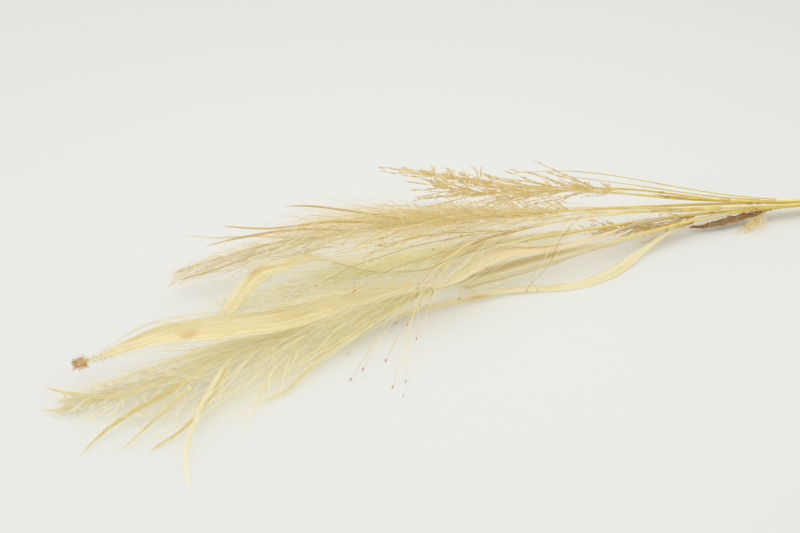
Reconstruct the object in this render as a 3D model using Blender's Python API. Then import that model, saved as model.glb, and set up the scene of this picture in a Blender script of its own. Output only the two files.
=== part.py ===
"""A bundle of dried broom grass lying on a surface.

Six stalks are gathered side by side at their cut ends. They spread into three
soft plumes, three airy seed heads and a spray of wiry bristles, with long dried
leaves that leave the stalks on the way. Lengths are in millimetres until a mesh
is made. X runs from the plume tips to the cut ends and Z is up.
"""
import math
import random

import bpy
import numpy as np
from mathutils import Vector
from mathutils.bvhtree import BVHTree

MM = 0.001
# moves the middle of the outline over the origin
CENTRE = np.array([2.0, -17.0, 0.0])

# Driving dimensions
GAP = 0.35
CUT_END_X = 380.0
STALK_RADIUS = 1.2
STALK_PITCH = 2.8
HEAD_RADIUS = 0.95
SIDE_STALK_RADIUS = 0.55
BLADE_THICKNESS = 0.62
STRAND_RADIUS = 0.55
STRAND_TIP_RADIUS = 0.16
BRISTLE_RADIUS = 0.36
BRISTLE_TIP_RADIUS = 0.26
BRANCH_RADII = (0.42, 0.36, 0.25)
FLUFF_RADII = (0.42, 0.36, 0.2)
SPIKELET_LENGTH = 5.0
SPIKELET_RADIUS = 0.8
HUSKS_A_BRANCH = 3
INNER_BRANCHES = 7
FLUFF_STRANDS = 11

# How finely the lines are cut
STATION_STEP = 5.0
STALK_STEP = 17.0
SIDE_STALK_STEP = 16.0
PLUME_CORE_STEP = 22.0
HEAD_CORE_STEP = 14.0
SPRAY_CORE_STEP = 16.0
STALK_SIDES = 7
CORE_SIDES = 5
STRAND_SIDES = 3
LOCK_POINTS = 6
STRAND_POINTS = 4

# The rounds in which the stalks are eased apart, and in how many of them they are evened
EASING_ROUNDS = 160
EVENING_ROUNDS = 130
# how often another place is tried for a strand that would touch something
TRIES = 14

# Colours, as the viewer's preview shows them
STRAW = (0.74, 0.58, 0.25, 1.0)
LEAF = (0.78, 0.68, 0.38, 1.0)
PALE_PLUME = (0.80, 0.70, 0.44, 1.0)
GOLD_PLUME = (0.68, 0.52, 0.24, 1.0)
SEED = (0.62, 0.45, 0.22, 1.0)
WIRE = (0.66, 0.44, 0.20, 1.0)
HUSK_BROWN = (0.28, 0.16, 0.06, 1.0)

# The gathered part of the bundle, from the cut ends to where the stalks part
BUNCH = [(380, -34, 1.2), (290, -19, 4.6), (200, -5, 7.8)]

# Each stalk: its place across the bunch in pitches, its cut end along X, where its
# head begins, its size against the others, and its way from the bunch to its tip
STALKS = {
    "front": dict(slot=(-1.0, 0.0), cut=378, head=-117, size=1.08, way=[
        (160, 5, 9.5), (123, 9, 11), (57, 9, 13), (-23, 6, 15), (-87, 8, 15), (-117, 9, 15),
        (-185, 14, 13), (-248, 11, 10), (-300, 7, 7), (-337, 9, 5), (-371, 15, 3)]),
    "middle": dict(slot=(0.0, 0.0), cut=380, head=-91, size=0.95, way=[
        (144, 10, 9), (100, 17, 12), (55, 20, 16), (-21, 24, 22), (-91, 29, 25),
        (-120, 33, 24), (-148, 38, 20), (-177, 41, 18), (-205, 44, 16), (-249, 48, 11)]),
    "rear": dict(slot=(1.0, 0.0), cut=375, head=46, size=0.85, way=[
        (148, 15, 11), (121, 28, 15), (93, 44, 20), (64, 57, 25), (32, 64, 28),
        (-17, 73, 31), (-54, 83, 33), (-74, 104, 36)]),
    "spray": dict(slot=(-1.5, 0.866), cut=376, head=36, size=0.9, way=[
        (138, 6, 15), (95, 12, 20), (54, 20, 25), (5, 26, 30), (-30, 27, 31), (-62, 27, 31)]),
    "top": dict(slot=(-0.5, 0.866), cut=380, head=58, size=0.95, way=[
        (161, 6, 14), (126, 14, 19), (100, 18, 24), (75, 24, 29), (56, 30, 35),
        (-2, 44, 45), (-44, 58, 52), (-81, 80, 57), (-109, 100, 60)]),
    "back": dict(slot=(0.5, 0.866), cut=379, head=-49, size=0.95, way=[
        (143, 12, 14), (100, 20, 19), (57, 26, 25), (16, 31, 31), (-49, 41, 37),
        (-94, 55, 38), (-154, 75, 34), (-215, 91, 25), (-274, 106, 14)]),
}

# Thin side stalks that leave the bunch on top
SIDE_STALKS = {
    "arch": dict(start=172, way=[
        (172, 1.9, 15.3), (160, 5.3, 16.8), (150, 7.8, 18.1), (130, 14, 22.5), (106, 22, 29),
        (79, 29, 37), (54, 34, 46), (29, 39, 54), (6, 44, 60), (-17, 49, 62), (-38, 54, 62)]),
    "thin": dict(start=164, way=[
        (164, 7.6, 14.1), (154, 10.1, 14.9), (142, 13.3, 16.1), (126, 19, 18.8), (96, 31, 26),
        (62, 44, 34), (34, 55, 40), (10, 64, 44)]),
}


# Lines

def even(line, count):
    """The same line with its points an equal way apart."""
    step = np.linalg.norm(np.diff(line, axis=0), axis=1)
    run = np.concatenate([[0.0], np.cumsum(step)])
    at = np.linspace(0.0, run[-1], count)
    return np.stack([np.interp(at, run, line[:, k]) for k in range(3)], axis=1)


def smooth(points, count):
    """A smooth line through the points, cut into equal steps."""
    p = np.array(points, float)
    p = np.vstack([2 * p[0] - p[1], p, 2 * p[-1] - p[-2]])
    t = np.linspace(0.0, 1.0, 12, endpoint=False)[:, None]
    pieces = []
    for a, b, c, d in zip(p[:-3], p[1:-2], p[2:-1], p[3:]):
        cubic = (3 * b - a - 3 * c + d) * t**3
        square = (2 * a - 5 * b + 4 * c - d) * t**2
        pieces.append(0.5 * (2 * b + (c - a) * t + square + cubic))
    pieces.append(p[-2][None])
    return even(np.vstack(pieces), count)


def at_fraction(line, fraction):
    """The point some way along an evenly stepped line."""
    place = min(max(fraction, 0.0), 1.0) * (len(line) - 1)
    low = min(int(place), len(line) - 2)
    return line[low] + (line[low + 1] - line[low]) * (place - low)


def unit(vectors):
    """The same directions with length one."""
    return vectors / np.linalg.norm(vectors, axis=-1, keepdims=True)


def directions(line):
    """The way a line runs at each of its points."""
    return unit(np.gradient(line, axis=0))


def carried_sides(line):
    """Sideways directions that follow a line without twisting round it."""
    ahead = directions(line)
    side = np.cross(ahead[0], [0.0, 0.0, 1.0])
    if np.linalg.norm(side) < 0.2:
        side = np.cross(ahead[0], [0.0, 1.0, 0.0])
    sides = []
    for way in ahead:
        side = side - way * float(side @ way)
        side = side / np.linalg.norm(side)
        sides.append(side)
    return ahead, np.array(sides)


# Meshes

def tube(line, radii, sides, pointed=False):
    """A closed round or tapering bar along a line."""
    ahead, across = carried_sides(line)
    over = np.cross(ahead, across)
    turn = np.arange(sides) * 2 * math.pi / sides
    ring = np.cos(turn)[None, :, None] * across[:, None] + np.sin(turn)[None, :, None] * over[:, None]
    points = line[:, None] + ring * np.asarray(radii)[:, None, None]
    rings = len(line) - 1 if pointed else len(line)
    verts = [tuple(p) for p in points[:rings].reshape(-1, 3)]
    faces = [tuple(reversed(range(sides)))]
    for i in range(rings - 1):
        for k in range(sides):
            a = i * sides + k
            b = i * sides + (k + 1) % sides
            faces.append((a, b, b + sides))
            faces.append((a, b + sides, a + sides))
    last = (rings - 1) * sides
    if pointed:
        verts.append(tuple(line[-1]))
        tip = len(verts) - 1
        for k in range(sides):
            faces.append((last + k, last + (k + 1) % sides, tip))
    else:
        faces.append(tuple(last + k for k in range(sides)))
    return verts, faces


def spikelet(root, way, length, radius):
    """A small seed husk: a three-sided spindle that tapers to both ends."""
    line = np.array([root, root + way * length * 0.45, root + way * length])
    ahead, across = carried_sides(line)
    over = np.cross(ahead, across)
    verts = [tuple(line[0])]
    for k in range(3):
        turn = k * 2 * math.pi / 3
        verts.append(tuple(line[1] + radius * (math.cos(turn) * across[1] + math.sin(turn) * over[1])))
    verts.append(tuple(line[2]))
    faces = []
    for k in range(3):
        a = 1 + k
        b = 1 + (k + 1) % 3
        faces.append((0, b, a))
        faces.append((a, b, 4))
    return verts, faces


def blade(line, ups, half_widths, half_turns, creases, waves=None, rows=7):
    """A thin leaf along a line, rolled into a gutter where half_turns is large.

    The section is an arc that opens towards ups, with a fold of creases along its
    middle. Both faces are split into triangles the same way.
    """
    ahead = directions(line)
    ups = unit(ups - ahead * np.sum(ups * ahead, axis=1, keepdims=True))
    sides = np.cross(ahead, ups)
    verts = []
    place = np.linspace(-1.0, 1.0, rows)
    for i, middle in enumerate(line):
        turn = place * half_turns[i]
        if half_turns[i] > 0.01:
            radius = half_widths[i] / half_turns[i]
            out = radius * np.sin(turn)
            rise = radius * (1 - np.cos(turn))
        else:
            out = place * half_widths[i]
            rise = np.zeros(rows)
        rise = rise + np.abs(place) * creases[i]
        if waves is not None:
            rise = rise + waves[i] * place**2
        slope_out = np.gradient(out)
        slope_up = np.gradient(rise)
        size = np.hypot(slope_out, slope_up)
        for face in (0.5, -0.5):
            shift_out = -slope_up / size * BLADE_THICKNESS * face
            shift_up = slope_out / size * BLADE_THICKNESS * face
            for k in range(rows):
                verts.append(tuple(middle + sides[i] * (out[k] + shift_out[k])
                                   + ups[i] * (rise[k] + shift_up[k])))
    faces = []
    ring = 2 * rows
    for i in range(len(line) - 1):
        a = i * ring
        b = a + ring
        for k in range(rows - 1):
            faces.append((a + k, b + k, b + k + 1))
            faces.append((a + k, b + k + 1, a + k + 1))
            low = rows + k
            faces.append((a + low, b + low + 1, b + low))
            faces.append((a + low, a + low + 1, b + low + 1))
        for edge in (0, rows - 1):
            quad = (a + edge, a + rows + edge, b + rows + edge, b + edge)
            if edge:
                quad = quad[::-1]
            faces.append(quad[:3])
            faces.append((quad[0], quad[2], quad[3]))
    for i, flip in ((0, False), (len(line) - 1, True)):
        for k in range(rows - 1):
            a = i * ring + k
            quad = (a, a + 1, a + rows + 1, a + rows)
            if flip:
                quad = quad[::-1]
            faces.append(quad[:3])
            faces.append((quad[0], quad[2], quad[3]))
    return verts, faces


def volume(verts, faces):
    """Signed volume of a closed mesh, below zero when it is inside out."""
    total = 0.0
    for face in faces:
        a = np.array(verts[face[0]])
        for b, c in zip(face[1:-1], face[2:]):
            total += float(a @ np.cross(verts[b], verts[c]))
    return total / 6.0


def outward(shape):
    """The same mesh with its faces looking out."""
    verts, faces = shape
    if volume(verts, faces) < 0:
        faces = [tuple(reversed(f)) for f in faces]
    return verts, faces


# Objects

def material(name, colour, roughness):
    """A plain material, made once."""
    found = bpy.data.materials.get(name)
    if found:
        return found
    made = bpy.data.materials.new(name)
    made.use_nodes = True
    made.diffuse_color = colour
    shader = made.node_tree.nodes["Principled BSDF"]
    shader.inputs["Base Color"].default_value = colour
    shader.inputs["Roughness"].default_value = roughness
    shader.inputs["Metallic"].default_value = 0.0
    return made


def plain_object(name, shape):
    """An object from millimetre vertices and faces."""
    verts, faces = outward(shape)
    mesh = bpy.data.meshes.new(name)
    mesh.from_pydata([tuple((np.array(v) + CENTRE) * MM) for v in verts], [], faces)
    mesh.validate()
    thing = bpy.data.objects.new(name, mesh)
    return thing


def finish_object(thing, look):
    """Link an object, give it its material and smooth its round faces."""
    bpy.context.scene.collection.objects.link(thing)
    thing.data.materials.clear()
    thing.data.materials.append(look)
    thing.data.shade_smooth()
    thing.data.set_sharp_from_angle(angle=math.radians(50))
    return thing


def largest_body(mesh):
    """Drop every loose scrap but the largest connected piece."""
    parent = list(range(len(mesh.vertices)))

    def top(i):
        while parent[i] != i:
            parent[i] = parent[parent[i]]
            i = parent[i]
        return i

    for edge in mesh.edges:
        a, b = (top(v) for v in edge.vertices)
        parent[a] = b
    owner = np.array([top(i) for i in range(len(parent))])
    best = np.bincount(owner).argmax()
    keep = [i for i, o in enumerate(owner) if o == best]
    if len(keep) == len(owner):
        return mesh
    place = {old: new for new, old in enumerate(keep)}
    verts = [mesh.vertices[i].co.copy() for i in keep]
    faces = [tuple(place[v] for v in f.vertices) for f in mesh.polygons if f.vertices[0] in place]
    made = bpy.data.meshes.new(mesh.name)
    made.from_pydata(verts, [], faces)
    return made


def fused_object(name, shapes, look):
    """One body out of many closed shapes that are sunk into one another."""
    body = plain_object(name, shapes[0])
    bpy.context.scene.collection.objects.link(body)
    group = bpy.data.collections.new(name + "_pieces")
    bpy.context.scene.collection.children.link(group)
    for i, shape in enumerate(shapes[1:]):
        group.objects.link(plain_object(f"{name}_piece_{i}", shape))
    join = body.modifiers.new("join", "BOOLEAN")
    join.operation = "UNION"
    join.operand_type = "COLLECTION"
    join.collection = group
    join.solver = "MANIFOLD"
    graph = bpy.context.evaluated_depsgraph_get()
    joined = bpy.data.meshes.new_from_object(body.evaluated_get(graph))
    body.modifiers.clear()
    body.data = largest_body(joined)
    for piece in list(group.objects):
        bpy.data.objects.remove(piece)
    bpy.data.collections.remove(group)
    bpy.context.scene.collection.objects.unlink(body)
    return finish_object(body, look)


# Room between the pieces

class Room:
    """Knows what is already built, so that new strands can be bent clear of it."""

    def __init__(self):
        self.trees = {}

    def add(self, name, shapes):
        """Remember closed shapes under a name."""
        verts = []
        faces = []
        for shape in shapes:
            first = len(verts)
            verts.extend(shape[0])
            faces.extend(tuple(first + i for i in f) for f in shape[1])
        self.trees[name] = BVHTree.FromPolygons([Vector(v) for v in verts], faces)

    def clear(self, line, radii, own=None):
        """True when a strand along the line stays clear of the rest and of the table."""
        length = np.linalg.norm(np.diff(line, axis=0), axis=1).sum()
        count = max(3, int(length / 0.8))
        fine = even(line, count)
        sizes = np.interp(np.linspace(0, 1, count), np.linspace(0, 1, len(radii)), radii)
        if np.any(fine[:, 2] < sizes):
            return False
        for name, tree in self.trees.items():
            if name == own:
                continue
            for point, size in zip(fine, sizes):
                if tree.find_nearest(Vector(point), float(size) + GAP)[0] is not None:
                    return False
        return True


ROOM = Room()


# Stalks

def stations_of(way):
    """Y and Z of a way at every station along X."""
    line = smooth(way, 400)
    order = np.argsort(line[:, 0])
    return (lambda x: np.stack([np.interp(x, line[order, 0], line[order, k]) for k in (1, 2)], axis=1))


def stalk_radius(x, size, head, tip):
    """Radius along a stalk: nearly even to the head, then down to a fine tip."""
    body = STALK_RADIUS + (HEAD_RADIUS - STALK_RADIUS) * (CUT_END_X - x) / (CUT_END_X - head)
    fade = np.clip((head - x) / max(head - tip, 1.0), 0.0, 1.0)
    return size * np.where(x >= head, body, HEAD_RADIUS * (1 - 0.62 * fade))


def settled_stalks():
    """Every stalk's line and radii, eased apart wherever two would touch."""
    x = np.arange(-380.0, CUT_END_X + 1, STATION_STEP)
    stalks = {}
    for name, stalk in STALKS.items():
        across, lift = stalk["slot"]
        start = [(bx, by + across * STALK_PITCH, bz + lift * STALK_PITCH) for bx, by, bz in BUNCH]
        way = start + stalk["way"]
        place = stations_of(way)(x)
        tip = way[-1][0]
        live = (x >= tip) & (x <= stalk["cut"])
        stalks[name] = [place, stalk_radius(x, stalk["size"], stalk["head"], tip), live]
    for name, stalk in SIDE_STALKS.items():
        way = stalk["way"]
        live = (x >= way[-1][0]) & (x <= stalk["start"])
        stalks[name] = [stations_of(way)(x), np.full(len(x), SIDE_STALK_RADIUS), live]
    names = list(stalks)
    for step in range(EASING_ROUNDS):
        for i, first in enumerate(names):
            for second in names[i + 1:]:
                a, ra, la = stalks[first]
                b, rb, lb = stalks[second]
                apart = b - a
                far = np.linalg.norm(apart, axis=1) + 1e-6
                short = np.where(la & lb, np.maximum(ra + rb + GAP * 1.3 - far, 0.0), 0.0)
                push = apart / far[:, None] * short[:, None] * 0.5
                stalks[first][0] = a - push
                stalks[second][0] = b + push
        for name in names:
            place, radius, live = stalks[name]
            if step < EVENING_ROUNDS:
                inner = live[1:-1] & live[:-2] & live[2:]
                mean = 0.25 * place[:-2] + 0.5 * place[1:-1] + 0.25 * place[2:]
                place[1:-1] = np.where(inner[:, None], 0.6 * place[1:-1] + 0.4 * mean, place[1:-1])
            place[:, 1] = np.maximum(place[:, 1], radius)
    lines = {}
    for name in names:
        place, radius, live = stalks[name]
        keep = np.nonzero(live)[0][::-1]
        line = np.column_stack([x[keep], place[keep]])
        lines[name] = (line, radius[keep])
    return lines


def cut_line(line, radii, from_x, to_x, step):
    """The run of a stalk between two places along X, in steps of about the given length."""
    x = line[:, 0]
    length = abs(from_x - to_x)
    at = np.linspace(from_x, to_x, max(3, int(round(length / step)) + 1))
    order = np.argsort(x)
    points = np.column_stack([at] + [np.interp(at, x[order], line[order, k]) for k in (1, 2)])
    sizes = np.interp(at, x[order], radii[order])
    return points, sizes


def build_stalks(lines):
    """The six culms and the two thin side stalks."""
    straw = material("straw", STRAW, 0.45)
    for name, stalk in STALKS.items():
        line, radii = lines[name]
        points, sizes = cut_line(line, radii, stalk["cut"], stalk["head"], STALK_STEP)
        shape = tube(points, sizes, STALK_SIDES)
        ROOM.add("culm_" + name, [shape])
        finish_object(plain_object("culm_" + name, shape), straw)
    for name in SIDE_STALKS:
        line, radii = lines[name]
        points, sizes = cut_line(line, radii, line[0, 0], line[-1, 0], SIDE_STALK_STEP)
        sizes = sizes * np.linspace(1.0, 0.7, len(sizes))
        shape = tube(points, sizes, CORE_SIDES)
        ROOM.add("stalk_" + name, [shape])
        finish_object(plain_object("stalk_" + name, shape), straw)


# Leaves

def opening(ahead, degrees):
    """The way a leaf's section opens: 0 is away from the viewer, 90 is up, 180 is to the front."""
    turn = np.radians(degrees)[:, None]
    aim = np.cos(turn) * np.array([0.0, 1.0, 0.0]) + np.sin(turn) * np.array([0.0, 0.0, 1.0])
    return unit(aim - ahead * np.sum(aim * ahead, axis=1, keepdims=True))


def gutter_on(line, radii, from_x, to_x, count, degrees, extra=0.0):
    """Where the middle of a sheath runs when it hugs a stalk, and how far from the stalk's axis."""
    points, sizes = cut_line(line, radii, from_x, to_x, abs(from_x - to_x) / (count - 1))
    reach = sizes + GAP + 0.06 + BLADE_THICKNESS / 2
    ups = opening(directions(points), degrees)
    return points - ups * (reach + extra)[:, None], ups, reach


# Each leaf hugs its stalk between two places along X, then runs free to its tip. Half
# widths, half turns, fold heights and openings are given at equal steps of each part; a
# half width of nought there means a sheath that hugs the stalk closely.
LEAVES = {
    "leaf_broad": dict(
        stalk="front", hug=(70, -96), hug_count=12, rows=7, count=17, wave=0.35,
        hug_open=[75, 65, 40, 0, -14, -17, -17, -12],
        hug_turn=[1.8, 1.8, 1.7, 0.9, 0.3, 0.15, 0.15, 0.15],
        hug_width=[0, 0, 3.6, 5.0, 6.2, 6.5, 6.3, 6.0],
        hug_crease=[0, 0, 0.2, 2.0, 3.2, 3.4, 3.3, 3.0],
        hug_extra=[0, 0, 0.3, 0.9, 1.1, 1.1, 1.3, 1.5],
        way=[(-118, 1.5, 19.5), (-131, 2, 21.5), (-148, 6, 22.3), (-177, 9, 23), (-206, 8, 23.8),
             (-233, 8, 24), (-257, 13, 24), (-281, 20, 23.5), (-301, 27, 22), (-323, 31, 18),
             (-342, 33, 15), (-358, 36, 12)],
        half_width=[6.0, 6.0, 6.0, 6.1, 6.2, 6.4, 6.6, 6.9, 7.2, 7.5, 7.8, 8.0, 8.2, 8.4, 8.6, 8.7,
                    8.5, 7.8, 6.8, 5.3, 3.4, 1.6, 3.0],
        half_turn=[0.2, 0.3, 0.4, 0.4, 0.4, 0.45, 0.5, 0.6, 0.7, 0.8, 0.6, 0.5],
        crease=[2.8, 2.4, 1.9, 1.5, 1.2, 1.0, 0.9, 0.8, 0.6, 0.4, 0.2, 0.3],
        open=[5, 45, 75, 98, 112, 120, 122, 120, 115, 108, 98, 90]),
    "leaf_low": dict(
        stalk="front", hug=(130, 97), hug_count=5, rows=7, count=21, wave=0.0,
        hug_open=[30, 50, 75], hug_turn=[1.7, 1.9, 1.9], hug_width=[0, 0, 0],
        hug_crease=[0, 0, 0], hug_extra=[0, 0, 0],
        way=[(77, 7, 8.6), (60, 4, 6.4), (44, 0, 4), (24, -6, 1.2), (8, -10, 0.31), (-8, -11.5, 0.31),
             (-24, -10.5, 0.31), (-40, -6, 0.31), (-56, -1.5, 0.8), (-73, 2, 1.8), (-92, 3, 2.8),
             (-111, 3.5, 3.6), (-127, 4, 4.4), (-142, 3.5, 5.4), (-154, 2, 6.2)],
        half_width=[3.0, 3.3, 4.0, 5.0, 5.2, 4.8, 4.4, 3.6, 3.2, 3.0, 2.8, 2.2, 0.8],
        half_turn=[1.2, 0.8, 0.4, 0.1, 0.0, 0.0, 0.0, 0.4, 0.8, 0.9, 0.9, 0.8, 0.4],
        crease=[0.0, 0.4, 0.3, 0.0, 0.0, 0.0, 0.0, 0.2, 0.5, 0.6, 0.6, 0.5, 0.1],
        open=[84, 100, 104, 92, 90, 90, 90, 95, 105, 112, 112, 105, 95]),
    "leaf_mid": dict(
        stalk="middle", hug=(76, 54), hug_count=4, rows=5, count=16, wave=0.3,
        hug_open=[20, 15], hug_turn=[1.4, 1.2], hug_width=[0, 0], hug_crease=[0, 0], hug_extra=[0, 0.2],
        way=[(36, 14, 17.6), (18, 8, 21.2), (0, 5, 22.8), (-24, 6, 23.4), (-42, 8, 24.4),
             (-60, 13, 25.4), (-78, 11.5, 26.8), (-97, 4, 27.6), (-115, -3, 27), (-130, -4, 25.5)],
        half_width=[2.8, 2.4, 2.2, 2.2, 2.6, 3.6, 5.2, 5.4, 3.6, 0.8],
        half_turn=[1.2, 1.0, 0.8, 0.8, 0.7, 0.5, 0.4, 0.4, 0.4, 0.3],
        crease=[0.0, 0.3, 0.4, 0.4, 0.5, 0.6, 0.6, 0.5, 0.3, 0.1],
        open=[20, 60, 92, 98, 105, 120, 136, 140, 130, 120]),
    "leaf_folded": dict(
        stalk="middle", hug=(-40, -82), hug_count=5, rows=5, count=18, wave=0.25,
        hug_open=[10, 15], hug_turn=[1.4, 1.2], hug_width=[0, 0], hug_crease=[0, 0], hug_extra=[0, 0.2],
        way=[(-104, 25, 22.6), (-124, 22, 23), (-145, 27, 24.5), (-162, 35, 26), (-176, 46, 29.5),
             (-188, 54, 31), (-200, 57, 30.5), (-213, 59, 28.5), (-225, 60, 27), (-235, 56, 24),
             (-246, 49, 21), (-256, 41, 18), (-265, 35, 14.5)],
        half_width=[2.7, 2.5, 2.4, 2.4, 2.6, 3.0, 3.6, 4.6, 5.2, 5.4, 5.2, 4.6, 3.4],
        half_turn=[1.3, 1.0, 0.7, 0.5, 0.4, 0.35, 0.3, 0.3, 0.3, 0.3, 0.3, 0.3, 0.3],
        crease=[0.0, 0.4, 0.5, 0.5, 0.5, 0.5, 0.5, 0.6, 0.7, 0.7, 0.6, 0.5, 0.4],
        open=[22, 45, 58, 56, 52, 52, 58, 75, 96, 108, 112, 112, 110]),
}


# Each sheath's stalk, where it runs along X, and the way that its gutter opens
SHEATHS = [("sheath_top", "top", 132, 70, -107.0), ("sheath_spray", "spray", 120, 62, -31.0)]
SHEATH_HALF_TURN = 1.3


def spread(values, count):
    """Values given at equal steps, read at count places."""
    return np.interp(np.linspace(0, 1, count), np.linspace(0, 1, len(values)), values)


def leaf_shape(lines, leaf):
    """A leaf whose base hugs its stalk as a sheath and whose blade runs free."""
    line, radii = lines[leaf["stalk"]]
    near = leaf["hug_count"]
    extra = spread(leaf["hug_extra"], near)
    hug, hug_ups, reach = gutter_on(line, radii, *leaf["hug"], near, spread(leaf["hug_open"], near), extra)
    free = smooth([tuple(hug[-2]), tuple(hug[-1])] + leaf["way"], 200)
    start = int(np.argmin(np.linalg.norm(free - hug[-1], axis=1)))
    count = leaf["count"]
    free = even(free[start:], count + 1)[1:]
    lying = (free[:, 0] < 10) & (free[:, 0] > -42) & (free[:, 2] < 1.1)
    free[lying, 2] = BLADE_THICKNESS / 2
    whole = np.vstack([hug, free])
    lying = np.concatenate([np.zeros(near, bool), lying])
    ups = opening(directions(whole), np.concatenate([np.zeros(near), spread(leaf["open"], count)]))
    ups[:near] = hug_ups
    ups[lying] = (0.0, 0.0, 1.0)
    turns = np.concatenate([spread(leaf["hug_turn"], near), spread(leaf["half_turn"], count)])
    widths = spread(leaf["hug_width"], near)
    widths = np.maximum(widths, reach * spread(leaf["hug_turn"], near))
    halves = np.concatenate([widths, spread(leaf["half_width"], count)])
    creases = np.concatenate([spread(leaf["hug_crease"], near), spread(leaf["crease"], count)])
    turns[lying] = 0.0
    creases[lying] = 0.0
    swing = np.sin(np.arange(count) * 1.9) * leaf["wave"] * np.linspace(0, 1, count)
    waves = np.concatenate([np.zeros(near), swing])
    verts, faces = blade(whole, ups, halves, turns, creases, waves, leaf["rows"])
    verts = [(v[0], v[1], 0.0) if abs(v[2]) < 0.02 else v for v in verts]
    return verts, faces


def sheath_shape(line, radii, from_x, to_x, degrees, turn, count=5):
    """A short dry sheath that hugs a stalk."""
    middle, ups, reach = gutter_on(line, radii, from_x, to_x, count, np.full(count, degrees))
    turns = np.full(count, turn)
    return blade(middle, ups, reach * turns, turns, np.zeros(count))


def build_leaves(lines):
    """Four leaves and two sheaths."""
    look = material("leaf", LEAF, 0.55)
    for name, leaf in LEAVES.items():
        shape = outward(leaf_shape(lines, leaf))
        ROOM.add(name, [shape])
        finish_object(plain_object(name, shape), look)
    straw = material("straw", STRAW, 0.45)
    for name, stalk, from_x, to_x, degrees in SHEATHS:
        shape = outward(sheath_shape(*lines[stalk], from_x, to_x, degrees, SHEATH_HALF_TURN))
        ROOM.add(name, [shape])
        finish_object(plain_object(name, shape), straw)


# The husk hugs the middle stalk between two places along X, then curls away under the bunch
HUSK = dict(
    hug=(176, 163),
    way=[(152, 4, 5.6), (138, 5.5, 4.6), (124, 6.5, 3.8), (110, 8.5, 3.4), (98, 13, 3.2)],
    half_width=[2.2, 3.0, 3.8, 3.8, 2.6, 0.8],
    half_turn=[0.9, 0.7, 0.8, 1.1, 1.2, 0.8])


def build_husk(lines):
    """The dark dried sheath scrap that hangs under the bunch."""
    look = material("husk", HUSK_BROWN, 0.7)
    hug, hug_ups, reach = gutter_on(*lines["middle"], *HUSK["hug"], 3, np.full(3, 90.0))
    free = smooth([tuple(hug[-2]), tuple(hug[-1])] + HUSK["way"], 120)
    start = int(np.argmin(np.linalg.norm(free - hug[-1], axis=1)))
    free = even(free[start:], 9)[1:]
    whole = np.vstack([hug, free])
    count = len(free)
    ups = np.vstack([hug_ups, np.tile([0.0, -0.25, 1.0], (count, 1))])
    turns = np.concatenate([np.full(3, 0.9), spread(HUSK["half_turn"], count)])
    halves = np.concatenate([reach * 0.9, spread(HUSK["half_width"], count)])
    shape = outward(blade(whole, ups, halves, turns, np.zeros(len(whole))))
    ROOM.add("husk_low", [shape])
    finish_object(plain_object("husk_low", shape), look)


# Plumes

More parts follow.
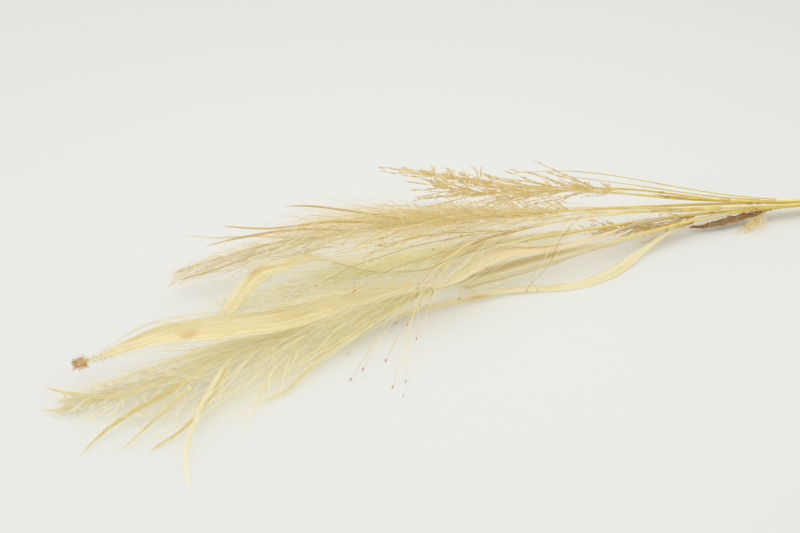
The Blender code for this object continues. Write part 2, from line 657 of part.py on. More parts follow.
# Around each core run three hems, where the strands end: in front, on top and behind.
# Locks are the strands that stand out, each from its root on the core to its tip.
PLUMES = {
    "plume_front": dict(
        stalk="front", seed=11, strands=42, colour=("pale_plume", PALE_PLUME),
        front=[(-182, -14, 3), (-226, -24, 2), (-262, -40, 1.6), (-300, -66, 1.3),
               (-330, -56, 1.2), (-356, -30, 1.4), (-380, 4, 1.8)],
        top=[(-190, 10, 18), (-240, 6, 15), (-290, 2, 13), (-335, 8, 11), (-378, 18, 6)],
        back=[(-185, 28, 7), (-235, 27, 4), (-290, 25, 2), (-335, 24, 1.5), (-378, 22, 2.5)],
        locks=[
            [(-262, 8, 9), (-288, -20, 10), (-306, -44, 8), (-318, -64, 4), (-322, -86, 0.2)],
            [(-276, 7, 8), (-306, -8, 9), (-334, -16, 7), (-356, -24, 3.5), (-373, -35, 0.2)],
            [(-262, 8, 9), (-286, -20, 8), (-309, -40, 5), (-336, -49, 1.0)],
            [(-276, 7, 8), (-304, -14, 7), (-328, -29, 5), (-352, -42, 1.0)],
            [(-128, 9, 14), (-172, -1, 11), (-212, -14, 6), (-245, -33, 2.2), (-266, -34, 1.0)],
            [(-296, 7, 7), (-320, 0, 8), (-341, 0, 8), (-364, 15, 7.5), (-380, 30, 8)],
            [(-232, 12, 11), (-272, 13, 15), (-322, 10, 13.5), (-362, 14, 8)],
            [(-330, 9, 5), (-352, 6, 4.5), (-372, 8, 3), (-385, 16, 1.5)],
        ]),
    "plume_middle": dict(
        stalk="middle", seed=23, strands=20, colour=("pale_plume", PALE_PLUME),
        front=[(-140, 15, 12), (-185, 24, 5), (-228, 32, 3), (-268, 40, 2)],
        top=[(-140, 34, 34), (-188, 46, 31), (-230, 54, 26), (-270, 56, 16)],
        back=[(-138, 52, 17), (-180, 62, 9), (-226, 66, 4), (-268, 62, 2)],
        locks=[
            [(-235, 47, 12), (-258, 52, 10), (-280, 60, 6)],
            [(-200, 44, 16), (-226, 38, 12), (-250, 30, 7)],
        ]),
    "plume_back": dict(
        stalk="back", seed=37, strands=40, colour=("gold_plume", GOLD_PLUME),
        front=[(-106, 43, 24), (-150, 52, 18), (-192, 70, 13), (-236, 84, 9), (-286, 96, 8)],
        top=[(-100, 62, 55), (-134, 78, 53), (-182, 98, 48), (-228, 98, 37), (-282, 104, 18)],
        back=[(-98, 74, 28), (-130, 92, 15), (-168, 108, 6), (-216, 120, 1.6), (-268, 118, 1.6)],
        locks=[
            [(-170, 79, 32), (-205, 90, 29), (-240, 96, 24), (-277, 98, 20)],
            [(-190, 84, 29), (-222, 86, 26), (-250, 86, 22), (-276, 92, 17)],
            [(-120, 63, 37), (-165, 80, 41), (-205, 92, 40), (-237, 111, 40)],
            [(-150, 74, 35), (-190, 88, 37), (-228, 96, 36), (-252, 102, 32)],
            [(-180, 82, 30), (-215, 98, 33), (-240, 106, 34), (-261, 122, 33)],
            [(-110, 59, 38), (-150, 84, 44), (-175, 98, 47), (-193, 104, 48)],
            [(-215, 91, 25), (-236, 104, 16), (-252, 114, 6), (-266, 121, 0.2)],
            [(-150, 74, 35), (-178, 92, 22), (-205, 108, 8), (-228, 119, 0.2)],
        ]),
}


def strand_line(root, ahead, tip, sag, count):
    """A strand that leaves along its core and bends over towards its tip."""
    reach = np.linalg.norm(tip - root)
    first = root + ahead * reach * 0.2
    second = root + (tip - root) * 0.68 + np.array([0.0, 0.0, sag * reach])
    t = np.linspace(0, 1, count)[:, None]
    return ((1 - t)**3 * root + 3 * (1 - t)**2 * t * first + 3 * (1 - t) * t**2 * second + t**3 * tip)


def hem_point(plume, u, v):
    """Where a strand from fraction u of the core ends; v runs from front over the top to behind."""
    front, top, back = (even(np.array(plume[k], float), 40) for k in ("front", "top", "back"))
    if v < 0:
        low = at_fraction(front, u)
    else:
        low = at_fraction(back, u)
    high = at_fraction(top, u)
    turn = abs(v) * math.pi / 2
    core = (at_fraction(front, u) + at_fraction(back, u)) / 2
    return core + (low - core) * math.sin(turn) + (high - core) * math.cos(turn)


def lock_shapes(name, plume, core):
    """The strands of a plume that stand out, lifted clear of their neighbours."""
    shapes = []
    fine_core = even(core, 240)
    for lock in plume["locks"]:
        near = np.argmin(np.linalg.norm(fine_core - lock[0], axis=1))
        line = smooth([tuple(fine_core[near])] + lock[1:], LOCK_POINTS)
        radii = np.linspace(STRAND_RADIUS * 1.3, STRAND_TIP_RADIUS, LOCK_POINTS)
        line[:, 2] = np.maximum(line[:, 2], radii * 1.02)
        for _ in range(TRIES - 2):
            if ROOM.clear(line[1:], radii[1:], name):
                shapes.append(tube(line, radii, STRAND_SIDES, True))
                break
            line[1:] += np.array([0.0, 0.0, 0.8]) * np.linspace(0.4, 1.0, LOCK_POINTS - 1)[:, None]
    return shapes


def strand_shapes(name, plume, core, rng):
    """The strands all round and all along a plume's core, each bent clear of its neighbours."""
    shapes = []
    ahead = directions(core)
    count = plume["strands"]
    for k in range(count):
        for attempt in range(TRIES):
            u = min(max((k + 0.5) / count + rng.uniform(-0.03, 0.03), 0.02), 0.97)
            v = ((k * 0.618034 + attempt * 0.37) % 1.0) * 2 - 1
            root = at_fraction(core, u)
            way = unit(at_fraction(ahead, u))
            tip = root + (hem_point(plume, u, v) - root) * rng.uniform(0.75, 1.05)
            tip = tip + np.array([rng.uniform(-5, 5), rng.uniform(-4, 4), rng.uniform(-1, 2)])
            line = strand_line(root, way, tip, rng.uniform(-0.02, 0.06), STRAND_POINTS)
            radii = np.linspace(STRAND_RADIUS, STRAND_TIP_RADIUS, STRAND_POINTS)
            line[:, 2] = np.maximum(line[:, 2], radii * 1.05)
            if ROOM.clear(line, radii, name):
                shapes.append(tube(line, radii, STRAND_SIDES, True))
                break
    return shapes


def build_plumes(lines):
    """Three soft plumes, each a slim core with strands all round it."""
    for name, plume in PLUMES.items():
        line, radii = lines[plume["stalk"]]
        head = STALKS[plume["stalk"]]["head"]
        core, sizes = cut_line(line, radii, head - GAP, line[-1, 0], PLUME_CORE_STEP)
        rng = random.Random(plume["seed"])
        shapes = [tube(core, sizes, CORE_SIDES)]
        ROOM.add(name, shapes)
        shapes = shapes + lock_shapes(name, plume, core) + strand_shapes(name, plume, core, rng)
        remember(fused_object(name, shapes, material(*plume["colour"], 0.8)))


def remember(thing):
    """Keep a finished object as something the next strands stay clear of."""
    verts = [np.array(v.co) / MM - CENTRE for v in thing.data.vertices]
    faces = [tuple(f.vertices) for f in thing.data.polygons]
    ROOM.add(thing.name, [(verts, faces)])


# Seed heads

HEADS = {
    "panicle_top": dict(stalk="top", seed=5, branches=12, length=(16, 30), rise=0.55, side=0.9),
    "panicle_rear": dict(stalk="rear", seed=8, branches=10, length=(14, 26), rise=0.35, side=0.9),
}


def seed_branch(rng, root, way, out, length, name):
    """A bent side branch with husks along it, or nothing where there is no room."""
    bend = unit(way * 0.9 + out * 0.8)
    line = np.array([root, root + bend * length * 0.5, root + bend * length * 0.8 + way * length * 0.25])
    radii = np.array(BRANCH_RADII)
    if not ROOM.clear(line, radii, name):
        return []
    shapes = [tube(line, radii, STRAND_SIDES, True)]
    for k in range(HUSKS_A_BRANCH):
        place = at_fraction(even(line, 12), 0.38 + 0.28 * k)
        turn = rng.uniform(0, 2 * math.pi)
        aside = unit(np.cross(bend, [math.cos(turn), math.sin(turn), 0.4]))
        lean = unit(bend + aside * 0.9)
        size = SPIKELET_LENGTH * rng.uniform(0.75, 1.1)
        tip = place + lean * size
        if ROOM.clear(np.array([place, tip]), np.array([SPIKELET_RADIUS, 0.3]), name):
            shapes.append(spikelet(place - lean * 0.5, lean, size, SPIKELET_RADIUS))
    return shapes


def build_seed_heads(lines):
    """Airy heads of husks on bent side branches."""
    look = material("seed", SEED, 0.75)
    for name, head in HEADS.items():
        line, radii = lines[head["stalk"]]
        core, sizes = cut_line(line, radii, STALKS[head["stalk"]]["head"] - GAP, line[-1, 0],
                               HEAD_CORE_STEP)
        rng = random.Random(head["seed"])
        shapes = [tube(core, sizes, CORE_SIDES)]
        ROOM.add(name, shapes)
        ahead, across = carried_sides(core)
        over = np.cross(across, ahead)
        for k in range(head["branches"]):
            for attempt in range(8):
                u = 0.02 + 0.93 * (k + 0.5) / head["branches"]
                turn = k * 2.4 + attempt * 0.8
                spot = min(int(u * len(core)), len(core) - 1)
                out = across[spot] * math.cos(turn) * head["side"] + over[spot] * math.sin(turn)
                out = unit(out + np.array([0, 0, head["rise"] * 0.3]))
                long = rng.uniform(*head["length"]) * (1 - 0.35 * u)
                found = seed_branch(rng, at_fraction(core, u), ahead[spot], out, long, name)
                if found:
                    shapes.extend(found)
                    break
        remember(fused_object(name, shapes, look))


# The way of the head that hangs between the stalks, after its root on the middle one
INNER_WAY = [(78, 17, 8.5), (60, 20, 9.5), (42, 24, 10.5), (26, 28, 12)]


def build_inner_head(lines):
    """A small brown seed head that hangs between the stalks."""
    look = material("seed", SEED, 0.75)
    name = "panicle_inner"
    line, radii = lines["middle"]
    root, sizes = cut_line(line, radii, 104, 92, 6.0)
    start = root - np.array([0.0, 0.0, 1.0]) * (sizes[:, None] + GAP + 0.65)
    core = smooth([tuple(p) for p in start] + INNER_WAY, 8)
    shapes = [tube(core, np.linspace(0.6, 0.35, 8), CORE_SIDES)]
    ROOM.add(name, shapes)
    rng = random.Random(17)
    ahead, across = carried_sides(core)
    over = np.cross(across, ahead)
    for k in range(INNER_BRANCHES):
        for attempt in range(10):
            u = 0.22 + 0.75 * (k + 0.5) / INNER_BRANCHES
            turn = k * 2.4 + attempt * 0.7
            spot = min(int(u * len(core)), len(core) - 1)
            out = unit(across[spot] * math.cos(turn) + over[spot] * math.sin(turn))
            found = seed_branch(rng, at_fraction(core, u), ahead[spot], out, rng.uniform(8, 15), name)
            if found:
                shapes.extend(found)
                break
    remember(fused_object(name, shapes, look))


# Bristles

# Each bristle's way, from near its root on the spray's core to its tip
BRISTLES = [
    [(-20, 27, 31), (-56, 26, 33), (-84, 22, 35), (-108, 14, 34), (-126, 3, 30), (-142, -8, 22),
     (-160, -28, 12), (-184, -56, 0.9)],
    [(-28, 27, 31), (-60, 26, 34), (-90, 20, 36), (-118, 10, 34), (-144, -1, 28), (-166, -12, 18),
     (-188, -27, 8), (-204, -38, 0.9)],
    [(-24, 27, 31), (-62, 25, 33), (-96, 17, 34), (-126, 5, 30), (-150, -6, 22), (-172, -18, 12),
     (-193, -32, 0.9)],
    [(-34, 27, 31), (-66, 25, 33), (-98, 16, 33), (-122, 2, 28), (-140, -8, 19), (-153, -14, 11)],
    [(20, 25, 29), (2, 22, 31), (-16, 15, 29), (-30, 7, 26.5), (-42, 0, 17), (-57, -6, 4)],
    [(-40, 27, 31), (-70, 27, 36), (-104, 26, 40), (-140, 27, 40), (-172, 29, 36), (-199, 27, 30)],
    [(-10, 27, 31), (-40, 26, 33), (-70, 19, 34), (-92, 8, 33), (-104, -2, 25), (-112, -9, 16)],
    [(-44, 27, 31), (-80, 30, 38), (-116, 32, 43), (-150, 33, 44)],
    [(8, 26, 30), (-30, 30, 36), (-64, 33, 41), (-92, 31, 44)],
    [(-50, 27, 31), (-84, 24, 34), (-116, 18, 36), (-150, 14, 35), (-180, 8, 32)],
    [(24, 24, 28), (10, 28, 33), (-8, 34, 38), (-26, 36, 44)],
    [(-48, 27, 31), (-78, 22, 34), (-110, 10, 33), (-138, -6, 25), (-160, -20, 14), (-178, -34, 4)],
]


def bristle_shape(way, core, name):
    """One bristle from the core, raised in its middle until it is clear, or nothing."""
    near = int(np.argmin(np.abs(core[:, 0] - way[0][0])))
    line = smooth([tuple(core[near])] + way[1:], len(way) + 1)
    thick = np.linspace(BRISTLE_RADIUS, BRISTLE_TIP_RADIUS, len(line))
    line[:, 2] = np.maximum(line[:, 2], thick * 1.05)
    for _ in range(TRIES - 4):
        if ROOM.clear(line[1:], thick[1:], name):
            return [tube(line, thick, STRAND_SIDES)]
        lift = np.linspace(0.2, 1.0, len(line))
        lift = np.where(line[:, 2] > 3.0, np.sin(lift * math.pi * 0.75), 0.0)
        lift[0] = 0.0
        line[:, 2] += lift * 0.8
    return []


def build_bristles(lines):
    """A spray of wiry bristles that arch over the leaves and reach down to the table."""
    look = material("bristle", WIRE, 0.6)
    name = "bristle_spray"
    line, radii = lines["spray"]
    core, sizes = cut_line(line, radii, STALKS["spray"]["head"] - GAP, line[-1, 0], SPRAY_CORE_STEP)
    shapes = [tube(core, sizes, CORE_SIDES)]
    ROOM.add(name, shapes)
    for way in BRISTLES:
        shapes.extend(bristle_shape(way, core, name))
    remember(fused_object(name, shapes, look))


# The way of the fluff's own thin stalk, after its root on the front stalk
TUFT_WAY = [(148, -3, 4.6), (138, -6, 3.0)]


def fluff_shape(k, core, rng, name):
    """One short bent strand of the fluff, or nothing where there is no room."""
    radii = np.array(FLUFF_RADII)
    for attempt in range(TRIES - 4):
        root = at_fraction(core, 0.35 + 0.6 * k / FLUFF_STRANDS)
        turn = k * 2.4 + attempt
        way = unit(np.array([-0.6 * rng.random(), math.cos(turn), 0.5 * math.sin(turn)]))
        tip = root + way * rng.uniform(5, 10)
        line = np.array([root, (root + tip) / 2 + [0, 0, 0.6], tip])
        line[:, 2] = np.maximum(line[:, 2], radii * 1.05)
        if ROOM.clear(line, radii, name):
            return [tube(line, radii, STRAND_SIDES, True)]
    return []


def build_tuft(lines):
    """Short fluff that hangs under the bunch beside the husk."""
    look = material("seed", SEED, 0.75)
    name = "tuft_low"
    line, radii = lines["front"]
    root, sizes = cut_line(line, radii, 166, 158, 4.0)
    start = root - np.array([0.0, 0.2, 1.0]) * (sizes[:, None] + GAP + 0.75)
    core = smooth([tuple(p) for p in start[:2]] + TUFT_WAY, 5)
    shapes = [tube(core, np.linspace(0.6, 0.4, 5), CORE_SIDES)]
    ROOM.add(name, shapes)
    rng = random.Random(3)
    for k in range(FLUFF_STRANDS):
        shapes.extend(fluff_shape(k, core, rng, name))
    remember(fused_object(name, shapes, look))


def main():
    """Build every piece of the bundle."""
    for thing in list(bpy.data.objects):
        bpy.data.objects.remove(thing)
    lines = settled_stalks()
    build_stalks(lines)
    build_leaves(lines)
    build_husk(lines)
    build_bristles(lines)
    build_inner_head(lines)
    build_tuft(lines)
    build_plumes(lines)
    build_seed_heads(lines)


main()
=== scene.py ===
"""The looks of a bundle of dried broom grass lying on a pale table.

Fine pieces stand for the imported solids: ribbed stalks, veined leaves, silky plumes,
husked seed heads, wiry bristles and a crumpled husk. Lengths are in millimetres, in
the plan that the solids were drawn in, until a mesh is made.
"""

import math

import bpy
import numpy as np
from mathutils import Matrix, Vector


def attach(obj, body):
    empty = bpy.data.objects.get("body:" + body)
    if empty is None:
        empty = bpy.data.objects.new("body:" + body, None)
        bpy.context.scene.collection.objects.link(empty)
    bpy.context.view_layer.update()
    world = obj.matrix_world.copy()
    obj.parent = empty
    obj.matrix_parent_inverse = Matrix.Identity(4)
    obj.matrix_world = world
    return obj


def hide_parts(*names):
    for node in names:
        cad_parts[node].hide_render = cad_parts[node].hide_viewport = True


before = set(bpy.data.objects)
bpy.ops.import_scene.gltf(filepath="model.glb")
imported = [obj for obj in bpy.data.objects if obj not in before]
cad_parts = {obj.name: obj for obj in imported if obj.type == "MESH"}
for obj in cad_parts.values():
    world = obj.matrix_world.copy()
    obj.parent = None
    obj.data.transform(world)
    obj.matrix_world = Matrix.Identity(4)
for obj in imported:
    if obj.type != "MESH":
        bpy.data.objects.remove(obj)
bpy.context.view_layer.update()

MM = 0.001
# moves the middle of the outline over the origin
CENTRE = np.array([2.0, -17.0, 0.0])

# Driving dimensions, as the solids have them
GAP = 0.35
CUT_END_X = 380.0
STALK_RADIUS = 1.2
STALK_PITCH = 2.8
HEAD_RADIUS = 0.95
STATION_STEP = 5.0
SOLID_BLADE = 0.62
TABLE_CLEARANCE = 0.12
SIDE_RADIUS = 0.55
SETTLE_ROUNDS = 160
SMOOTH_ROUNDS = 130

# How far pieces may reach, as axis, least, most, and how far past these a point is eased
REACHES = ((0, -384.0, 400.0, 10.0), (1, -84.0, 119.0, 5.0), (2, -9.0, 67.0, 2.5))

# The gathered part of the bundle, from the cut ends to where the stalks part
BUNCH = [(380, -34, 1.2), (290, -19, 4.6), (200, -5, 7.8)]

# Each stalk: its place across the bunch in pitches, its cut end along X, where its
# head begins, its size against the others, and its way from the bunch to its tip
STALKS = {
    "front": dict(slot=(-1.0, 0.0), cut=378, head=-117, size=1.08, way=[
        (160, 5, 9.5), (123, 9, 11), (57, 9, 13), (-23, 6, 15), (-87, 8, 15), (-117, 9, 15),
        (-185, 14, 13), (-248, 11, 10), (-300, 7, 7), (-337, 9, 5), (-371, 15, 3)]),
    "middle": dict(slot=(0.0, 0.0), cut=380, head=-91, size=0.95, way=[
        (144, 10, 9), (100, 17, 12), (55, 20, 16), (-21, 24, 22), (-91, 29, 25),
        (-120, 33, 24), (-148, 38, 20), (-177, 41, 18), (-205, 44, 16), (-249, 48, 11)]),
    "rear": dict(slot=(1.0, 0.0), cut=375, head=46, size=0.85, way=[
        (148, 15, 11), (121, 28, 15), (93, 44, 20), (64, 57, 25), (32, 64, 28),
        (-17, 73, 31), (-54, 83, 33), (-74, 104, 36)]),
    "spray": dict(slot=(-1.5, 0.866), cut=376, head=36, size=0.9, way=[
        (138, 6, 15), (95, 12, 20), (54, 20, 25), (5, 26, 30), (-30, 27, 31), (-62, 27, 31)]),
    "top": dict(slot=(-0.5, 0.866), cut=380, head=58, size=0.95, way=[
        (161, 6, 14), (126, 14, 19), (100, 18, 24), (75, 24, 29), (56, 30, 35),
        (-2, 44, 45), (-44, 58, 52), (-81, 80, 57), (-109, 100, 60)]),
    "back": dict(slot=(0.5, 0.866), cut=379, head=-49, size=0.95, way=[
        (143, 12, 14), (100, 20, 19), (57, 26, 25), (16, 31, 31), (-49, 41, 37),
        (-94, 55, 38), (-154, 75, 34), (-215, 91, 25), (-274, 106, 14)]),
}

# Thin side stalks that leave the bunch on top
SIDE_STALKS = {
    "arch": dict(start=172, way=[
        (172, 1.9, 15.3), (160, 5.3, 16.8), (150, 7.8, 18.1), (130, 14, 22.5), (106, 22, 29),
        (79, 29, 37), (54, 34, 46), (29, 39, 54), (6, 44, 60), (-17, 49, 62), (-38, 54, 62)]),
    "thin": dict(start=164, way=[
        (164, 7.6, 14.1), (154, 10.1, 14.9), (142, 13.3, 16.1), (126, 19, 18.8), (96, 31, 26),
        (62, 44, 34), (34, 55, 40), (10, 64, 44)]),
}


# Lines

def even(line, count):
    """The same line with its points an equal way apart."""
    step = np.linalg.norm(np.diff(line, axis=0), axis=1)
    run = np.concatenate([[0.0], np.cumsum(step)])
    at = np.linspace(0.0, run[-1], count)
    return np.stack([np.interp(at, run, line[:, k]) for k in range(3)], axis=1)


def smooth(points, count):
    """A smooth line through the points, cut into equal steps."""
    p = np.array(points, float)
    p = np.vstack([2 * p[0] - p[1], p, 2 * p[-1] - p[-2]])
    t = np.linspace(0.0, 1.0, 12, endpoint=False)[:, None]
    pieces = []
    for a, b, c, d in zip(p[:-3], p[1:-2], p[2:-1], p[3:]):
        cubic = (3 * b - a - 3 * c + d) * t**3
        square = (2 * a - 5 * b + 4 * c - d) * t**2
        pieces.append(0.5 * (2 * b + (c - a) * t + square + cubic))
    pieces.append(p[-2][None])
    return even(np.vstack(pieces), count)


def at_fraction(line, fraction):
    """The point some way along an evenly stepped line."""
    place = min(max(fraction, 0.0), 1.0) * (len(line) - 1)
    low = min(int(place), len(line) - 2)
    return line[low] + (line[low + 1] - line[low]) * (place - low)


def unit(vectors):
    """The same directions with length one."""
    return vectors / np.linalg.norm(vectors, axis=-1, keepdims=True)


def directions(line):
    """The way a line runs at each of its points."""
    return unit(np.gradient(line, axis=0))


def carried_sides(line):
    """Sideways directions that follow a line without twisting round it."""
    ahead = directions(line)
    side = np.cross(ahead[0], [0.0, 0.0, 1.0])
    if np.linalg.norm(side) < 0.2:
        side = np.cross(ahead[0], [0.0, 1.0, 0.0])
    sides = []
    for way in ahead:
        side = side - way * float(side @ way)
        side = side / np.linalg.norm(side)
        sides.append(side)
    return ahead, np.array(sides)


def along(lines, owner, t):
    """Points part-way along some of many lines, and the way the lines run there."""
    place = np.clip(t, 0.0, 1.0) * (lines.shape[1] - 1)
    low = np.minimum(place.astype(int), lines.shape[1] - 2)
    part = (place - low)[:, None]
    a = lines[owner, low]
    b = lines[owner, low + 1]
    return a + (b - a) * part, unit(b - a)


def wander(rng, t, size, rate=1.0):
    """A smooth random swing along t."""
    total = np.zeros_like(t)
    for k in (1.0, 2.3, 4.1):
        total += np.sin(2 * math.pi * (k * rate * t + rng.random())) / k
    return total * size


def around(rng, ahead):
    """A random sideways direction for each given one."""
    return unit(np.cross(ahead, rng.normal(size=ahead.shape)))


def above_table(points, clearance=TABLE_CLEARANCE):
    """The same points, eased back within the reaches and kept clear of the table."""
    for axis, low, high, give in REACHES:
        value = points[..., axis]
        over = np.maximum(value - high, 0.0) - np.maximum(low - value, 0.0)
        points[..., axis] = np.clip(value, low, high) + give * np.tanh(over / give)
    points[..., 2] = np.maximum(points[..., 2], clearance)
    return points


# Meshes

# How far a tint shifts the grain, so that no two strands show the same streaks
TINT_SHIFT = 90.0


class Mass:
    """Many small closed shapes that become one piece, with what its material reads.

    The grain is a place in the straightened piece, so that streaks follow it. The shade
    holds a random tint, how far along the piece a point lies, and how marked it is.
    """

    def __init__(self):
        self.verts = []
        self.grain = []
        self.shade = []
        self.faces = {3: [], 4: []}
        self.round = {3: [], 4: []}
        self.count = 0

    def add(self, verts, grain, shade, smooth=True, **faces):
        """Adds vertices, and faces given as arrays under the names tris and quads."""
        for name, sides in (("tris", 3), ("quads", 4)):
            found = np.asarray(faces.get(name, np.zeros((0, sides))), int).reshape(-1, sides)
            self.faces[sides].append(found + self.count)
            self.round[sides].append(np.full(len(found), smooth))
        self.verts.append(verts.reshape(-1, 3))
        self.grain.append(grain.reshape(-1, 3))
        self.shade.append(shade.reshape(-1, 3))
        self.count += len(self.verts[-1])


def ring_faces(rings, sides):
    """Quads between one ring and the next along a bar."""
    ring = np.arange(sides)
    first = np.stack([ring, (ring + 1) % sides, (ring + 1) % sides + sides, ring + sides], axis=1)
    return (first[None] + (np.arange(rings - 1) * sides)[:, None, None]).reshape(-1, 4)


def rods(mass, lines, radii, sides, tint, reach, mark=None):
    """Closed bars that taper to a point, one along each line, all with as many rings."""
    count, stations, _ = lines.shape
    if not count:
        return
    ahead = unit(np.gradient(lines, axis=1))
    chord = lines[:, -1] - lines[:, 0]
    steep = np.abs(chord[:, 2]) > 0.8 * np.linalg.norm(chord, axis=1)
    guide = np.where(steep[:, None], [1.0, 0.0, 0.0], [0.0, 0.0, 1.0])
    across = unit(np.cross(ahead, guide[:, None]))
    over = np.cross(ahead, across)
    turn = np.arange(sides) * 2 * math.pi / sides
    ring = np.cos(turn)[:, None] * across[:, :, None] + np.sin(turn)[:, None] * over[:, :, None]
    body = (lines[:, :, None] + ring * radii[:, :, None, None])[:, :-1].reshape(count, -1, 3)
    verts = np.concatenate([body, lines[:, -1:]], axis=1)
    per = verts.shape[1]
    step = np.linalg.norm(np.diff(lines, axis=1), axis=2)
    run = np.concatenate([np.zeros((count, 1)), np.cumsum(step, axis=1)], axis=1)
    row = np.concatenate([np.repeat(np.arange(stations - 1), sides), [stations - 1]])
    round_x = np.append(np.tile(np.cos(turn), stations - 1), 0.0)
    round_y = np.append(np.tile(np.sin(turn), stations - 1), 0.0)
    grain = np.stack([run[:, row] + tint[:, None] * TINT_SHIFT, np.broadcast_to(round_x, (count, per)),
                      np.broadcast_to(round_y, (count, per))], axis=2)
    reach = np.broadcast_to(reach[:, None], (count, per))
    mark = np.zeros((count, per)) if mark is None else mark[:, row]
    shade = np.stack([np.broadcast_to(tint[:, None], (count, per)), reach, mark], axis=2)
    quads = ring_faces(stations - 1, sides)
    ends = np.arange(sides)
    last = (stations - 2) * sides
    tip = np.stack([last + ends, last + (ends + 1) % sides, np.full(sides, per - 1)], axis=1)
    base = np.array([(0, k + 1, k) for k in range(1, sides - 1)])
    tris = np.concatenate([tip, base])
    starts = (np.arange(count) * per)[:, None, None]
    mass.add(verts, grain, shade, sides > 4, tris=tris[None] + starts, quads=quads[None] + starts)


def stem(mass, line, radii, sides, tint, mark, ribs=0.0, cut=False):
    """One round stalk along a line, with faint ribs, and a hollow in its cut end."""
    ahead, across = carried_sides(line)
    over = np.cross(ahead, across)
    radii = np.asarray(radii, float)
    if cut:
        rim = [line[0] + ahead[0] * 2.2, line[0] + ahead[0] * 0.1, line[0]]
        line = np.vstack([rim, line[0] + ahead[0] * 0.12, line[1:]])
        ahead, across, over = (np.vstack([np.repeat(v[:1], 3, axis=0), v]) for v in (ahead, across, over))
        radii = np.concatenate([radii[0] * np.array([0.3, 0.42, 0.86]), radii])
        mark = np.concatenate([[1.0, 1.0, 0.6], mark])
    turn = np.arange(sides) * 2 * math.pi / sides
    rib = 1 + ribs * np.cos(turn * (sides // 2))
    ring = np.cos(turn)[None, :, None] * across[:, None] + np.sin(turn)[None, :, None] * over[:, None]
    verts = line[:, None] + ring * (radii[:, None] * rib)[:, :, None]
    run = np.concatenate([[0.0], np.cumsum(np.linalg.norm(np.diff(line, axis=0), axis=1))])
    rings = len(line)
    round_ = np.stack([np.cos(turn), np.sin(turn)], axis=1)[None] * radii[:, None, None]
    far_along = np.broadcast_to(run[:, None, None], (rings, sides, 1)) + tint * TINT_SHIFT
    grain = np.concatenate([far_along, round_], axis=2)
    share = np.broadcast_to((run / run[-1])[:, None], (rings, sides))
    marks = np.broadcast_to(mark[:, None], (rings, sides))
    shade = np.stack([np.full((rings, sides), tint), share, marks], axis=2)
    quads = ring_faces(rings, sides)
    ends = np.arange(1, sides - 1)
    zero = np.zeros_like(ends)
    base = np.stack([zero, ends + 1, ends], axis=1)
    top = np.stack([zero, ends, ends + 1], axis=1) + (rings - 1) * sides
    mass.add(verts, grain, shade, quads=quads, tris=np.concatenate([base, top]))


def ribbon(mass, middle, sides, ups, out, rise, thickness, mark, tint=0.5):
    """One thin closed leaf: its section is given at each station as out and rise."""
    stations, rows = out.shape
    slope_out = np.gradient(out, axis=1)
    slope_up = np.gradient(rise, axis=1)
    size = np.hypot(slope_out, slope_up) + 1e-9
    edge = 1 - 0.7 * np.abs(np.linspace(-1, 1, rows))**10
    faces = []
    for face in (0.5, -0.5):
        o = out - slope_up / size * thickness * face * edge
        r = rise + slope_out / size * thickness * face * edge
        faces.append(middle[:, None] + sides[:, None] * o[:, :, None] + ups[:, None] * r[:, :, None])
    verts = np.stack(faces, axis=1)
    run = np.concatenate([[0.0], np.cumsum(np.linalg.norm(np.diff(middle, axis=0), axis=1))])
    widths = np.hypot(np.diff(out), np.diff(rise))
    girth = np.concatenate([np.zeros((stations, 1)), np.cumsum(widths, axis=1)], axis=1)
    girth = girth - girth[:, rows // 2][:, None]
    shape = (stations, 2, rows)
    face = np.broadcast_to(np.array([0.0, 9.0])[None, :, None], shape)
    grain = np.stack([np.broadcast_to(run[:, None, None], shape), np.broadcast_to(girth[:, None], shape),
                      face], axis=3)
    share = np.broadcast_to((run / run[-1])[:, None, None], shape)
    shade = np.stack([np.full(shape, tint), share, np.broadcast_to(mark[:, None], shape)], axis=3)
    index = np.arange(stations * 2 * rows).reshape(stations, 2, rows)
    up, low = index[:, 0], index[:, 1]

    top = np.stack([up[:-1, :-1], up[1:, :-1], up[1:, 1:], up[:-1, 1:]], axis=2).reshape(-1, 4)
    under = np.stack([low[:-1, :-1], low[:-1, 1:], low[1:, 1:], low[1:, :-1]], axis=2).reshape(-1, 4)
    left = np.stack([up[:-1, 0], low[:-1, 0], low[1:, 0], up[1:, 0]], axis=1)
    right = np.stack([up[:-1, -1], up[1:, -1], low[1:, -1], low[:-1, -1]], axis=1)
    start = np.stack([up[0, :-1], up[0, 1:], low[0, 1:], low[0, :-1]], axis=1)
    end = np.stack([up[-1, :-1], low[-1, :-1], low[-1, 1:], up[-1, 1:]], axis=1)
    mass.add(verts, grain, shade, quads=np.concatenate([top, under, left, right, start, end]))


